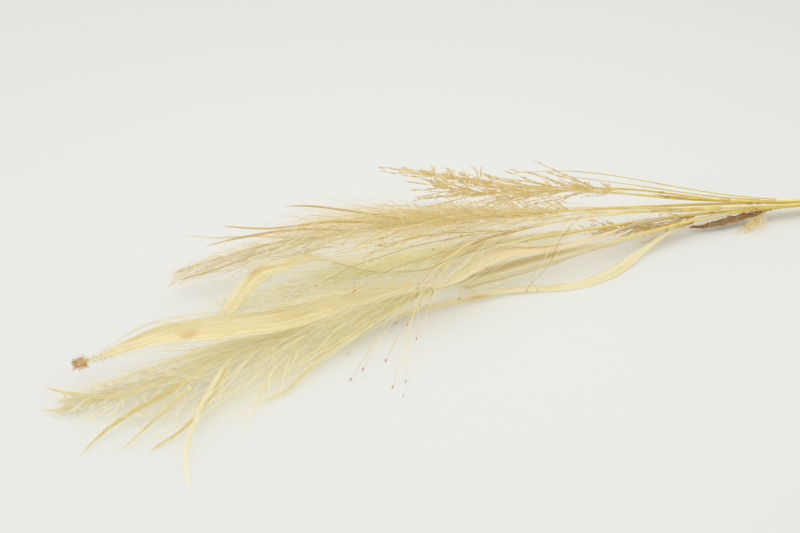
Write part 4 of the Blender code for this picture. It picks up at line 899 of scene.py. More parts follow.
def build_husk(lines, look):
    """The dark dried sheath scrap that hangs under the bunch."""
    rng = np.random.default_rng(6)
    near = HUSK["hug_stations"]
    hug, hug_ups, reach = gutter_on(*lines["middle"], *HUSK["hug"], near, np.full(near, 90.0))
    free = smooth([tuple(hug[-7]), tuple(hug[-1])] + HUSK["way"], 900)
    start = int(np.argmin(np.linalg.norm(free - hug[-1], axis=1)))
    free = even(free[start:], HUSK["stations"] + 1)[1:]
    whole = np.vstack([hug, free])
    count = len(free)
    ups = np.vstack([hug_ups, np.tile([0.0, -0.25, 1.0], (count, 1))])
    ups = upright(directions(whole), ups)
    sides = np.cross(directions(whole), ups)
    t = np.linspace(0, 1, len(whole))
    turns = np.concatenate([np.full(near, 0.9), spread(HUSK["half_turn"], count)])
    halves = np.concatenate([reach * 0.9, spread(HUSK["half_width"], count)])
    halves = halves * (1 + wander(rng, t, 0.07, 7) * np.clip(t * 4, 0, 1))
    place = np.linspace(-1, 1, HUSK["rows"])[None]
    waves = wander(rng, t, 0.5, 5) * np.clip(t * 3, 0, 1)
    out, rise = leaf_section(place, halves, turns, np.zeros(len(t)), waves)
    crumple = np.sin(place * 11 + t[:, None] * 30) * 0.22 + np.sin(place * 5 - t[:, None] * 55) * 0.2
    rise = rise + crumple * np.clip(t * 4, 0, 1)[:, None]
    mass = Mass()
    ribbon(mass, whole, sides, ups, out, rise, LEAF_THICKNESS, np.zeros(out.shape))
    mass.verts = [above_table(v, LEAF_CLEARANCE) for v in mass.verts]
    piece("dry_husk_low", mass, look, "husk", "husk_low")


# Plumes

# Around each core run three hems, where the strands end: in front, on top and behind.
# Locks are the strands that stand out, each from its root on the core to its tip.
PLUMES = {
    "plume_front": dict(
        stalk="front", seed=11, colour="pale_plume",
        front=[(-182, -14, 3), (-226, -24, 2), (-262, -40, 1.6), (-300, -66, 1.3),
               (-330, -56, 1.2), (-356, -30, 1.4), (-380, 4, 1.8)],
        top=[(-190, 10, 18), (-240, 6, 15), (-290, 2, 13), (-335, 8, 11), (-378, 18, 6)],
        back=[(-185, 28, 7), (-235, 27, 4), (-290, 25, 2), (-335, 24, 1.5), (-378, 22, 2.5)],
        locks=[
            [(-262, 8, 9), (-288, -20, 10), (-306, -44, 8), (-318, -64, 4), (-322, -86, 0.2)],
            [(-276, 7, 8), (-306, -8, 9), (-334, -16, 7), (-356, -24, 3.5), (-373, -35, 0.2)],
            [(-262, 8, 9), (-286, -20, 8), (-309, -40, 5), (-336, -49, 1.0)],
            [(-276, 7, 8), (-304, -14, 7), (-328, -29, 5), (-352, -42, 1.0)],
            [(-128, 9, 14), (-172, -1, 11), (-212, -14, 6), (-245, -33, 2.2), (-266, -34, 1.0)],
            [(-296, 7, 7), (-320, 0, 8), (-341, 0, 8), (-364, 15, 7.5), (-380, 30, 8)],
            [(-232, 12, 11), (-272, 13, 15), (-322, 10, 13.5), (-362, 14, 8)],
            [(-330, 9, 5), (-352, 6, 4.5), (-372, 8, 3), (-385, 16, 1.5)],
        ]),
    "plume_middle": dict(
        stalk="middle", seed=23, colour="pale_plume",
        front=[(-140, 15, 12), (-185, 24, 5), (-228, 32, 3), (-268, 40, 2)],
        top=[(-140, 34, 34), (-188, 46, 31), (-230, 54, 26), (-270, 56, 16)],
        back=[(-138, 52, 17), (-180, 62, 9), (-226, 66, 4), (-268, 62, 2)],
        locks=[
            [(-235, 47, 12), (-258, 52, 10), (-280, 60, 6)],
            [(-200, 44, 16), (-226, 38, 12), (-250, 30, 7)],
        ]),
    "plume_back": dict(
        stalk="back", seed=37, colour="gold_plume",
        front=[(-106, 40, 22), (-150, 46, 16), (-192, 62, 10), (-236, 80, 8), (-286, 96, 8)],
        top=[(-100, 62, 55), (-134, 78, 53), (-182, 98, 48), (-228, 98, 37), (-282, 104, 18)],
        back=[(-98, 74, 28), (-130, 92, 15), (-168, 108, 6), (-216, 120, 1.6), (-268, 118, 1.6)],
        locks=[
            [(-170, 79, 32), (-205, 90, 29), (-240, 96, 24), (-277, 98, 20)],
            [(-190, 84, 29), (-222, 86, 26), (-250, 86, 22), (-276, 92, 17)],
            [(-120, 63, 37), (-165, 80, 41), (-205, 92, 40), (-237, 111, 40)],
            [(-150, 74, 35), (-190, 88, 37), (-228, 96, 36), (-252, 102, 32)],
            [(-180, 82, 30), (-215, 98, 33), (-240, 106, 34), (-261, 122, 33)],
            [(-110, 59, 38), (-150, 84, 44), (-175, 98, 47), (-193, 104, 48)],
            [(-215, 91, 25), (-236, 104, 16), (-252, 114, 6), (-266, 121, 0.2)],
            [(-150, 74, 35), (-178, 92, 22), (-205, 108, 8), (-228, 119, 0.2)],
        ]),
}


# How each plume is filled out: spikes close to its core, wisps and locks of filaments, a veil
# of single fine strands that begins early, before the head, and hairs. Lean is the share of
# them that fall to the front, broad the share that leave the core steeply, and wild how far
# they stray. The crown is the spiky twigs round the first part of the core.
FILLINGS = {
    "plume_front": dict(
        spikes=260, wisps=200, in_wisp=7, wisp_width=0.6, in_lock=42, lock_width=1.9,
        veil=1900, early=6, lean=0.74, broad=0.5, wild=1.3,
        hair=dict(per_mm=0.3, length=9.0, spread_out=0.34, fine=0.06, droop=0.08),
        crown=dict(twigs=300, reach=(7, 13), until=1.0, lean=0.75, squash=0.5, lift=0.0)),
    "plume_middle": dict(
        spikes=40, wisps=170, in_wisp=5, wisp_width=0.45, in_lock=8, lock_width=1.2,
        veil=1300, early=130, lean=0.55, broad=0.8, wild=1.6,
        hair=dict(per_mm=0.5, length=11.0, spread_out=0.45, fine=0.05, droop=0.06),
        crown=dict(twigs=30, reach=(8, 20), until=0.6, lean=0.4, squash=0.8, lift=0.0)),
    "plume_back": dict(
        spikes=90, wisps=270, in_wisp=6, wisp_width=0.4, in_lock=26, lock_width=1.1,
        veil=1500, early=52, lean=0.72, broad=0.85, wild=2.2,
        hair=dict(per_mm=0.25, length=8.0, spread_out=0.34, fine=0.06, droop=0.06),
        crown=dict(twigs=190, reach=(14, 36), until=0.5, lean=0.75, squash=1.0, lift=0.5)),
}
SWEEP = (0.0, 0.6)
WISP_STATIONS = 8
LOCK_STATIONS = 14
WAY_STATIONS = 16
VEIL_STATIONS = 5
HAIR_STATIONS = 9
CORE_STEP = 3.0
CORE_SIDES = 8
# Least and most radius of each kind of strand
TWIG_RADII = (0.12, 0.2)
SPIKE_RADII = (0.12, 0.22)
WISP_RADII = (0.08, 0.16)
LOCK_RADII = (0.14, 0.26)
VEIL_RADII = (0.05, 0.09)
LOCK_TINT = 0.55
# How far the middle line of a strand, beyond its radius, and of a husk keep off the table
STRAND_CLEARANCE = 0.03
HUSK_CLEARANCE = 0.4
# The first place for a hair and for a husk on its line, as a share of the line
HAIR_START = 0.04
HUSK_START = 0.1
# The share of hairs that bend, and of a line that a filament may leave free at either end
BENT_SHARE = 0.5
LOOSE_ENDS = 0.25
OVER_LEAF_REACH = (25, 80)
# Hairs that lie on the leaves: leaf, how many, and between which places along X
OVER_LEAVES = {
    "plume_front": [("leaf_broad", 520, -60, -215), ("leaf_broad", 60, -240, -300)],
    "plume_middle": [("leaf_folded", 60, -140, -240), ("leaf_mid", 70, -20, -115),
                     ("leaf_broad", 70, -20, -130)],
    "plume_back": [("leaf_broad", 120, -60, -170), ("leaf_folded", 40, -150, -200)],
}


# Each plume's colour at its root, at its tips and on its darker strands
PLUME_COLOURS = {
    "plume_front": ("pale_plume", (253, 247, 212), (254, 250, 232), (238, 222, 146)),
    "plume_middle": ("mist_plume", (254, 250, 218), (254, 253, 238), (240, 222, 146)),
    "plume_back": ("gold_plume", (252, 240, 192), (254, 251, 236), (230, 203, 128)),
}


def plume_look(name, root, tip, dark):
    """Silky hair: it pales from the root of the plume to its tip, and no two strands match."""
    look = Look(name, 0.6, 0.25)
    tint, share, mark = look.shade()
    fleck = look.noise((0.16, 0.8, 0.8), 2.0)
    colour = look.mix(look.window(share, 0.0, 0.9), root, tip)
    colour = look.tinge(colour, tint, 0.55, 1.0, 0.75, dark)
    colour = look.tinge(colour, fleck, 0.55, 0.75, 0.3, dark)
    colour = look.stain(colour, mark, 0.8, srgb(176, 128, 84))
    return look.finish(colour, look.math("ADD", look.math("MULTIPLY", fleck, 0.3), 0.45))


def hem_points(plume, u, v):
    """Where strands from shares u of the core end; v runs from front over the top to behind."""
    front, top, back = (even(np.array(plume[k], float), 40) for k in ("front", "top", "back"))
    low = np.where((v < 0)[:, None], points_on(front, u), points_on(back, u))
    high = points_on(top, u)
    middle = (points_on(front, u) + points_on(back, u)) / 2
    turn = (np.abs(v) * math.pi / 2)[:, None]
    return middle + (low - middle) * np.sin(turn) + (high - middle) * np.cos(turn)


def branch_lines(plume, core, rng, count, stations, fill, reach, first=0.0):
    """Strands from all along a core, each bending over towards the hems, and their share of the core.

    The hems begin at the first share of the core. Broad strands leave it steeply and cross.
    """
    u = np.clip((np.arange(count) + 0.5) / count + rng.uniform(-0.03, 0.03, count), 0.0, 0.985)
    v = rng.random(count) ** 0.8 * np.where(rng.random(count) < fill["lean"], -1.0, 1.0)
    root = points_on(core, u)
    ahead = unit(points_on(directions(core), u))
    out = rng.uniform(*reach, count)[:, None]
    past = np.maximum(u - first, 0.0) / (1.0 - first)
    far = past + (1.0 - past) * rng.uniform(*SWEEP, count)
    tip = root + (hem_points(plume, far, v) - root) * out
    size = np.linalg.norm(tip - root, axis=1)[:, None]
    tip = tip + rng.normal(0, 0.07, (count, 3)) * size * (1.0, 1.0, 0.5) * fill["wild"]
    second = root + ahead * size * rng.uniform(0.1, 0.4, count)[:, None]
    third = root + (tip - root) * 0.66 + ahead * size * 0.05 + rng.normal(0, 0.05, (count, 3)) * size
    third[:, 2:] += rng.uniform(-0.05, 0.09, count)[:, None] * size
    broad = (rng.random(count) < fill["broad"])[:, None]
    crossed = np.clip(v + rng.normal(0, 0.35, count), -1, 1)
    early = hem_points(plume, past + (far - past) * 0.3, crossed) - root
    late = hem_points(plume, past + (far - past) * 0.75, v) - root
    apart = hem_points(plume, past, crossed) - root
    second = np.where(broad, root + early * rng.uniform(0.2, 0.85, count)[:, None], second)
    third = np.where(broad, root + late * out * rng.uniform(0.7, 1.05, count)[:, None], third)
    root = np.where(broad, root + apart * rng.uniform(0.0, 0.65, count)[:, None], root)
    t = np.linspace(0, 1, stations)[None, :, None]
    root, second, third, tip = (p[:, None] for p in (root, second, third, tip))
    lines = (1 - t)**3 * root + 3 * (1 - t)**2 * t * second + 3 * (1 - t) * t**2 * third + t**3 * tip
    return lines + sways(rng, count, stations, 1.5 * fill["wild"]) * t, past


def sways(rng, count, stations, size):
    """A gentle random swing for each of many lines."""
    t = np.linspace(0, 1, stations)[None, :, None]
    total = np.zeros((count, stations, 3))
    for k in (0.8, 1.9, 3.3):
        total += np.sin(2 * math.pi * (k * t + rng.random((count, 1, 3)))) / k
    return total * size * rng.uniform(0.2, 1.0, (count, 1, 1))


def points_on(line, shares):
    """Points at given shares of an evenly stepped line."""
    place = np.clip(shares, 0.0, 1.0) * (len(line) - 1)
    return np.stack([np.interp(place, np.arange(len(line)), line[:, k]) for k in range(3)], axis=1)


def lock_lines(plume, core):
    """The lines of the locks that stand out, each from the core, and their shares of the core."""
    fine_core = even(core, 240)
    lines = []
    shares = []
    for lock in plume["locks"]:
        near = int(np.argmin(np.linalg.norm(fine_core - lock[0], axis=1)))
        lines.append(smooth([tuple(fine_core[near])] + lock[1:], 40))
        shares.append(near / 240)
    return np.stack(lines), np.array(shares)


def bundled(lines, rng, count, width, stations):
    """Filaments round each of many lines: they spread from its root and draw to a point at its end."""
    owner = np.repeat(np.arange(len(lines)), count)
    start = rng.uniform(0.0, LOOSE_ENDS, len(owner))[:, None]
    stop = 1.0 - LOOSE_ENDS * rng.random(len(owner))[:, None] ** 1.5
    at = start + (stop - start) * np.linspace(0, 1, stations)
    spot, ahead = along(lines, np.repeat(owner, stations), at.ravel())
    side = unit(np.cross(ahead, [0.0, 0.0, 1.0]))
    over = np.cross(side, ahead)
    turn = np.repeat(rng.uniform(0, 2 * math.pi, len(owner)), stations)[:, None]
    far = width * np.sqrt(rng.random(len(owner)))[:, None]
    far = far * np.minimum(0.35 + at * 2.2, 1.0) * (1 - at) ** 0.6
    loosened = spot + far.ravel()[:, None] * (side * np.cos(turn) + over * np.sin(turn))
    filaments = loosened.reshape(len(owner), stations, 3)
    swing = sways(rng, len(owner), stations, width * 0.35)
    return filaments + swing * np.linspace(0, 1, stations)[:, None], owner


def hairs(mass, lines, shares, rng, per_mm, length, spread_out, fine, droop=0.1, mark=0.0):
    """Silky hairs along every line, leaning out from it and forward."""
    run = np.linalg.norm(np.diff(lines, axis=1), axis=2).sum(axis=1)
    owner = np.repeat(np.arange(len(lines)), rng.poisson(run * per_mm))
    t = rng.uniform(HAIR_START, 1.0, len(owner))
    root, ahead = along(lines, owner, t)
    lean = rng.uniform(0.15, 1.0, len(owner))[:, None] * spread_out
    aside = around(rng, ahead)
    size = length * rng.uniform(0.45, 1.15, len(owner)) * (1 - 0.35 * t)
    early = unit(ahead + aside * lean * 0.7)
    late = unit(ahead + aside * lean * 1.5 - np.array([0.0, 0.0, droop]))
    tip = root + (early * 0.5 + late * 0.5) * size[:, None]
    middle = root + early * size[:, None] * 0.5
    line = above_table(np.stack([root, middle, tip], axis=1))
    tint = rng.random(len(owner))
    share = shares[owner] + rng.normal(0, 0.06, len(owner))
    thick = fine * rng.uniform(0.7, 1.2, len(owner))
    curved = rng.random(len(owner)) < BENT_SHARE
    radii = np.stack([thick, thick * 0.8, thick * 0.1], axis=1)
    marks = np.full(radii.shape, mark)
    rods(mass, line[curved], radii[curved], 3, tint[curved], share[curved], marks[curved])
    straight = ~curved
    rods(mass, line[straight][:, ::2], radii[straight][:, ::2], 3, tint[straight], share[straight],
         marks[straight][:, ::2])


def husks(mass, lines, shares, rng, per_mm, length, radius, lean, mark):
    """Small stubby husks along every line: a fat middle between two points."""
    run = np.linalg.norm(np.diff(lines, axis=1), axis=2).sum(axis=1)
    owner = np.repeat(np.arange(len(lines)), rng.poisson(run * per_mm))
    root, ahead = along(lines, owner, rng.uniform(HUSK_START, 1.0, len(owner)))
    way = unit(ahead + around(rng, ahead) * lean * rng.uniform(0.3, 1.0, len(owner))[:, None])
    size = length * rng.uniform(0.6, 1.2, len(owner))
    steps = np.array([0.0, 0.3, 0.65, 1.0])
    line = above_table(root[:, None] + way[:, None] * size[:, None, None] * steps[:, None], HUSK_CLEARANCE)
    thick = radius * rng.uniform(0.7, 1.2, len(owner))
    radii = thick[:, None] * np.array([0.25, 1.0, 0.7, 0.0])
    tint = rng.random(len(owner))
    marks = np.broadcast_to(mark * rng.uniform(0.4, 1.2, len(owner))[:, None], radii.shape)
    rods(mass, line, radii, 3, tint, shares[owner], marks)


def strands(mass, lines, tint, share, rng, thick, tip=0.25):
    """Tapering strands of random thickness along the lines."""
    sizes = rng.uniform(*thick, len(lines))[:, None] * np.linspace(1.0, tip, lines.shape[1])
    rods(mass, above_table(lines, thick[1] + STRAND_CLEARANCE), sizes, 3, tint, share)


def toned(rng, owner):
    """A tint for each filament, close to that of its wisp."""
    own = rng.random(owner.max() + 1)
    return np.clip(own[owner] * 0.8 + rng.random(len(owner)) * 0.2, 0.0, 1.0)


def over_leaf(lines, name, rng, count, from_x, to_x, reach):
    """Long hairs that lie on a leaf, just clear of its face."""
    whole, ups, halves, turns, creases, _ = leaf_frame(lines, LEAVES[name])
    ups = upright(directions(whole), ups)
    sides = np.cross(directions(whole), ups)
    step = np.linalg.norm(np.diff(whole, axis=0), axis=1).mean()
    near, far = (int(np.argmin(np.abs(whole[:, 0] - x))) for x in (from_x, to_x))
    start = rng.integers(near, far, count)[:, None]
    t = np.linspace(0, 1, HAIR_STATIONS)
    size = rng.uniform(*reach, count)[:, None] / step
    at = np.clip(start + size * t, 0, len(whole) - 1).astype(int)
    place = rng.uniform(-1.5, 1.5, count)[:, None] + rng.normal(0, 0.9, count)[:, None] * t
    place = place + rng.normal(0, 0.3, count)[:, None] * np.sin(t * 4)
    held = np.clip(place, -1, 1)
    curl = np.maximum(turns[at], 0.01)
    rise = halves[at] / curl * (1 - np.cos(held * curl)) + np.abs(held) * creases[at]
    lift = rise + rng.uniform(0.35, 1.8, count)[:, None] - np.maximum(np.abs(place) - 1, 0) * 1.5
    return whole[at] + sides[at] * (place * halves[at])[:, :, None] + ups[at] * lift[:, :, None]


def build_crown(name, plume, core, rng, look):
    """Spiky twigs with husks and short fluff round the first part of a plume's core."""
    crown = FILLINGS[name]["crown"]
    part = core[:int(len(core) * crown["until"])]
    twigs, shares = head_branches(part, rng, crown["twigs"], crown["reach"], crown["lean"],
                                  crown["squash"], crown["lift"])
    twigs = above_table(twigs[:, ::2])
    shares = shares * crown["until"]
    mass = Mass()
    strands(mass, twigs, rng.random(len(twigs)), shares, rng, TWIG_RADII)
    husks(mass, twigs, shares, rng, per_mm=0.3, length=3.4, radius=0.3, lean=0.5, mark=0.2)
    hairs(mass, twigs, shares, rng, per_mm=0.6, length=7.0, spread_out=0.75, fine=0.07)
    piece("spiky_" + name, mass, look, plume["colour"], name, casts=False)


def build_plume(name, plume, lines, look):
    """One plume: a core with spikes, a crown, wisps, locks, a veil, and strands laid over the leaves."""
    fill = FILLINGS[name]
    rng = np.random.default_rng(plume["seed"])
    line, radii = lines[plume["stalk"]]
    head = STALKS[plume["stalk"]]["head"]
    core, sizes = cut_line(line, radii, head - GAP, line[-1, 0], CORE_STEP)
    longer, _ = cut_line(line, radii, head + fill["early"], line[-1, 0], CORE_STEP)
    first = fill["early"] / (fill["early"] + head - line[-1, 0])
    mass = Mass()
    stem(mass, core, sizes, CORE_SIDES, 0.3, np.full(len(core), 0.35))
    spikes, spike_share = branch_lines(plume, core, rng, fill["spikes"], VEIL_STATIONS, fill, (0.1, 0.4))
    strands(mass, spikes, rng.random(len(spikes)), spike_share, rng, SPIKE_RADII)
    husks(mass, spikes, spike_share, rng, per_mm=0.12, length=3.0, radius=0.26, lean=0.35, mark=0.3)
    piece("soft_" + name, mass, look, plume["colour"], name)

    build_crown(name, plume, longer, rng, look)
    silk = Mass()
    wisps, wisp_share = branch_lines(plume, core, rng, fill["wisps"], WAY_STATIONS, fill, (0.4, 1.08))
    locks, lock_share = lock_lines(plume, core)
    for body, share, count, width, stations, thick, least in (
            (wisps, wisp_share, fill["in_wisp"], fill["wisp_width"], WISP_STATIONS, WISP_RADII, 0.0),
            (locks, lock_share, fill["in_lock"], fill["lock_width"], LOCK_STATIONS, LOCK_RADII, LOCK_TINT)):
        filaments, owner = bundled(body, rng, count, width, stations)
        tint = least + (1 - least) * toned(rng, owner)
        strands(silk, filaments, tint, share[owner], rng, thick, 0.45)
        hairs(silk, body, share, rng, **fill["hair"])
    veil, veil_share = branch_lines(plume, longer, rng, fill["veil"], VEIL_STATIONS, fill,
                                    (0.25, 1.12), first)
    strands(silk, veil, rng.random(len(veil)), veil_share, rng, VEIL_RADII)
    for leaf, count, from_x, to_x in OVER_LEAVES[name]:
        laid = over_leaf(lines, leaf, rng, count, from_x, to_x, OVER_LEAF_REACH)
        strands(silk, laid, rng.random(count), np.full(count, 0.5), rng, WISP_RADII, 0.5)
    piece("silky_" + name, silk, look, plume["colour"], name, casts=False)


# Seed heads

# Each airy head: its stalk, how many branches it has, how long they are and how far they lean
HEADS = {
    "panicle_top": dict(stalk="top", seed=5, branches=36, reach=(14, 36), lean=0.26, squash=0.75,
                        tufts=(-84, -72, -64, -56, -48, 20, 36)),
    "panicle_rear": dict(stalk="rear", seed=8, branches=58, reach=(24, 54), lean=0.5, squash=1.0,
                         tufts=(-70, -52, -30, 8, 30)),
}
TUFT_TWIGS = 7
TUFT_REACH = (5, 13)


def seed_look():
    """Dry husks: tan to brown, each a little different, with paler fluff."""
    look = Look("seed", 0.65, 0.25)
    tint, _, mark = look.shade()
    fleck = look.noise((0.5, 0.9, 0.9), 2.0)
    colour = look.mix(look.window(tint, 0.1, 0.9), srgb(249, 237, 188), srgb(240, 218, 152))
    colour = look.tinge(colour, fleck, 0.5, 0.75, 0.5, srgb(224, 195, 128))
    colour = look.stain(colour, mark, 0.7, srgb(190, 148, 98))
    return look.finish(colour, None, fleck, 0.15, 0.5)


def head_branches(core, rng, count, length, lean, squash, lift=0.0):
    """Side branches all round a core, each appressed at first and then leaning out."""
    ahead, across = carried_sides(core)
    over = np.cross(across, ahead)
    t = np.linspace(0, 1, 8)
    lines = []
    shares = []
    for k in range(count):
        u = (k + rng.random()) / count * 0.98
        spot = min(int(u * len(core)), len(core) - 1)
        turn = k * 2.4 + rng.uniform(-0.5, 0.5)
        out = unit(across[spot] * math.cos(turn) + over[spot] * math.sin(turn) * squash)
        size = rng.uniform(*length) * (1 - 0.4 * u)
        way = unit(ahead[spot] + out * lean * rng.uniform(0.3, 1.2))
        line = at_fraction(core, u) + way * (t * size)[:, None] + ahead[spot] * (t**2 * size * 0.25)[:, None]
        line[:, 2] += lift * size * t**2
        sway = np.stack([wander(rng, t, 0.5, 0.9) for _ in range(3)], axis=1) * t[:, None]
        lines.append(line + sway)
        shares.append(u)
    return np.array(lines), np.array(shares)


def tuft_lines(core, rng, places, count, reach):
    """Short branchlets that stand up in a tuft at each of some places along X."""
    lines = []
    for place in places:
        root = core[int(np.argmin(np.abs(core[:, 0] - place)))]
        for _ in range(count):
            way = unit(np.array([rng.normal(-0.25, 0.35), rng.normal(0.1, 0.5), abs(rng.normal(0.55, 0.3))]))
            size = rng.uniform(*reach)
            t = np.linspace(0, 1, 8)[:, None]
            lines.append(root + way * t * size + np.array([-0.3, 0.0, -0.25]) * t**2 * size)
    return np.array(lines)


def fill_head(mass, lines, shares, rng, tight=1.0, brown=0.15):
    """Fine branches with husks pressed along them in rows, some that stand off, and a little fluff."""
    tint = rng.random(len(lines))
    thick = rng.uniform(0.22, 0.32, len(lines))
    rods(mass, lines, thick[:, None] * np.linspace(1.0, 0.45, lines.shape[1]), 3, tint, shares)
    husks(mass, lines, shares, rng, per_mm=0.5 * tight, length=4.6, radius=0.4, lean=0.22, mark=brown)
    husks(mass, lines, shares, rng, per_mm=0.2 * tight, length=3.4, radius=0.34, lean=0.8, mark=brown * 1.6)
    hairs(mass, lines, shares, rng, per_mm=0.7 * tight, length=6.0, spread_out=0.8, fine=0.09, mark=0.05)


def build_seed_head(name, head, lines, look):
    """An airy head: fine branches crowded with husks."""
    rng = np.random.default_rng(head["seed"])
    line, radii = lines[head["stalk"]]
    core, sizes = cut_line(line, radii, STALKS[head["stalk"]]["head"] - GAP, line[-1, 0], CORE_STEP)
    mass = Mass()
    stem(mass, core, sizes, CORE_SIDES, 0.4, np.full(len(core), 0.2))
    branches, shares = head_branches(core, rng, head["branches"], head["reach"], head["lean"],
                                     head["squash"])
    tufts = tuft_lines(core, rng, head["tufts"], TUFT_TWIGS, TUFT_REACH)
    twigs = above_table(np.concatenate([branches, tufts]))
    shares = np.concatenate([shares, np.full(len(tufts), 0.5)])
    fill_head(mass, twigs, shares, rng)
    piece("airy_" + name, mass, look, "seed", name, casts=False)


# The two small heads, between and under the stalks: where each leaves its stalk, its way, the
# rings and radii of its core, and its branches
INNER = dict(stalk="middle", root=(104, 92), step=6.0, rings=30, radii=(0.6, 0.35),
             way=[(78, 17, 8.5), (60, 20, 9.5), (42, 24, 10.5), (26, 28, 12)],
             branches=60, reach=(10, 28), lean=0.6, squash=0.8)
TUFT = dict(stalk="front", root=(166, 158), step=4.0, rings=12, radii=(0.6, 0.4),
            way=[(148, -3, 4.6), (138, -6, 3.0)],
            branches=30, reach=(6, 15), lean=1.0, squash=0.6)
CHAFF = 110
CHAFF_REACH = (4, 10)
CHAFF_RADIUS = 0.28


def hanging_start(head, lines, aim, drop):
    """Where the core of a small head starts: beside its stalk, on the side away from the aim."""
    root, sizes = cut_line(*lines[head["stalk"]], *head["root"], head["step"])
    return root - np.array(aim) * (sizes[:, None] + GAP + drop)


def build_inner_head(lines, look):
    """A small brown seed head between the stalks, with curled chaff in it."""
    rng = np.random.default_rng(17)
    start = hanging_start(INNER, lines, (0.0, 0.0, 1.0), 0.65)
    core = smooth([tuple(p) for p in start] + INNER["way"], INNER["rings"])
    mass = Mass()
    radii = np.linspace(*INNER["radii"], INNER["rings"])
    stem(mass, core, radii, CORE_SIDES, 0.6, np.full(INNER["rings"], 0.5))
    branches, shares = head_branches(core, rng, INNER["branches"], INNER["reach"], INNER["lean"],
                                     INNER["squash"])
    fill_head(mass, above_table(branches, 0.4), shares, rng, 0.9, 0.25)
    chaff = above_table(curls(core, rng, CHAFF, CHAFF_REACH), 0.32)
    sizes = np.full((CHAFF, 1), CHAFF_RADIUS) * np.linspace(1, 0.4, CURL_STATIONS)
    rods(mass, chaff, sizes, 3, rng.random(CHAFF), np.full(CHAFF, 0.5), np.full((CHAFF, CURL_STATIONS), 0.15))
    piece("airy_panicle_inner", mass, look, "seed", "panicle_inner", casts=False)


def curls(core, rng, count, reach, scatter=(5, 5, 2.4)):
    """Short curled scraps scattered along a line."""
    t = np.linspace(0, 1, CURL_STATIONS)[:, None]
    lines = []
    for _ in range(count):
        root = at_fraction(core, rng.random()) + rng.normal(0, 1, 3) * scatter
        a = unit(rng.normal(size=3) * (1.0, 1.0, 0.5))
        b = unit(np.cross(a, rng.normal(size=3)))
        size = rng.uniform(*reach)
        bend = rng.uniform(1.2, 3.6)
        lines.append(root + (a * np.sin(t * bend) + b * (1 - np.cos(t * bend))) * size / bend)
    return np.array(lines)


# Bristles

# The bristles that stand out, each from its root on the stalk to its tip
BRISTLES = [
    [(-20, 27, 31), (-56, 26, 33), (-84, 22, 35), (-108, 14, 34), (-126, 3, 30), (-142, -8, 22),
     (-160, -28, 12), (-184, -56, 0.9)],
    [(-28, 27, 31), (-60, 26, 34), (-90, 20, 36), (-118, 10, 34), (-144, -1, 28), (-166, -12, 18),
     (-188, -27, 8), (-204, -38, 0.9)],
    [(-24, 27, 31), (-62, 25, 33), (-96, 17, 34), (-126, 5, 30), (-150, -6, 22), (-172, -18, 12),
     (-193, -32, 0.9)],
    [(-34, 27, 31), (-66, 25, 33), (-98, 16, 33), (-122, 2, 28), (-140, -8, 19), (-153, -14, 11)],
    [(20, 25, 29), (2, 22, 31), (-16, 15, 29), (-30, 7, 26.5), (-42, 0, 17), (-57, -6, 4)],
    [(-40, 27, 31), (-70, 27, 36), (-104, 26, 40), (-140, 27, 40), (-172, 29, 36), (-199, 27, 30)],
    [(-10, 27, 31), (-40, 26, 33), (-70, 19, 34), (-92, 8, 33), (-104, -2, 25), (-112, -9, 16)],
    [(-44, 27, 31), (-80, 30, 38), (-116, 32, 43), (-150, 33, 44)],
    [(8, 26, 30), (-30, 30, 36), (-64, 33, 41), (-92, 31, 44)],
    [(-50, 27, 31), (-84, 24, 34), (-116, 18, 36), (-150, 14, 35), (-180, 8, 32)],
    [(24, 24, 28), (10, 28, 33), (-8, 34, 38), (-26, 36, 44)],
    [(-48, 27, 31), (-78, 22, 34), (-110, 10, 33), (-138, -6, 25), (-160, -20, 14), (-178, -34, 4)],
]


def bristle_look():
    """Wiry bristles: pinkish straw, browner towards the tip, with red-brown knobs."""
    look = Look("bristle", 0.5, 0.35)
    tint, _, mark = look.shade()
    fleck = look.noise((0.1, 1.0, 1.0), 2.0)
    colour = look.mix(look.window(tint, 0.2, 0.8), srgb(251, 240, 192), srgb(228, 204, 138))
    colour = look.tinge(colour, fleck, 0.5, 0.7, 0.5, srgb(206, 176, 122))
    colour = look.tinge(colour, tint, 0.84, 0.88, 0.8, srgb(176, 140, 92))
    colour = look.stain(colour, mark, 1.0, srgb(178, 112, 82))
    return look.finish(colour, None, fleck, 0.08, 0.4)


EXTRA_BRISTLES = 26
LONG_BRISTLES = 20
BRISTLE_STATIONS = 26


def long_bristle(line, rng, way):
    """A fine bristle that leaves the stalk early and runs beside it before it arches over."""
    start = rng.uniform(30, 118)
    root = line[int(np.argmin(np.abs(line[:, 0] - start)))]
    beside = rng.normal(0, 1, 2) * (7.5, 3.0) + (2.0, 4.5)
    points = [tuple(root)]
    for share in (0.35, 0.7):
        x = start + (-20 - start) * share
        near = line[int(np.argmin(np.abs(line[:, 0] - x)))]
        points.append((x, near[1] + beside[0] * share, near[2] + beside[1] * share))
    stop = rng.integers(3, len(way) + 1)
    for x, y, z in way[1:stop]:
        points.append((x + rng.normal(0, 3), y + beside[0] * 1.1 + rng.normal(0, 2),
                       z + beside[1] * 0.8 + rng.normal(0, 1)))
    return smooth(points, BRISTLE_STATIONS)


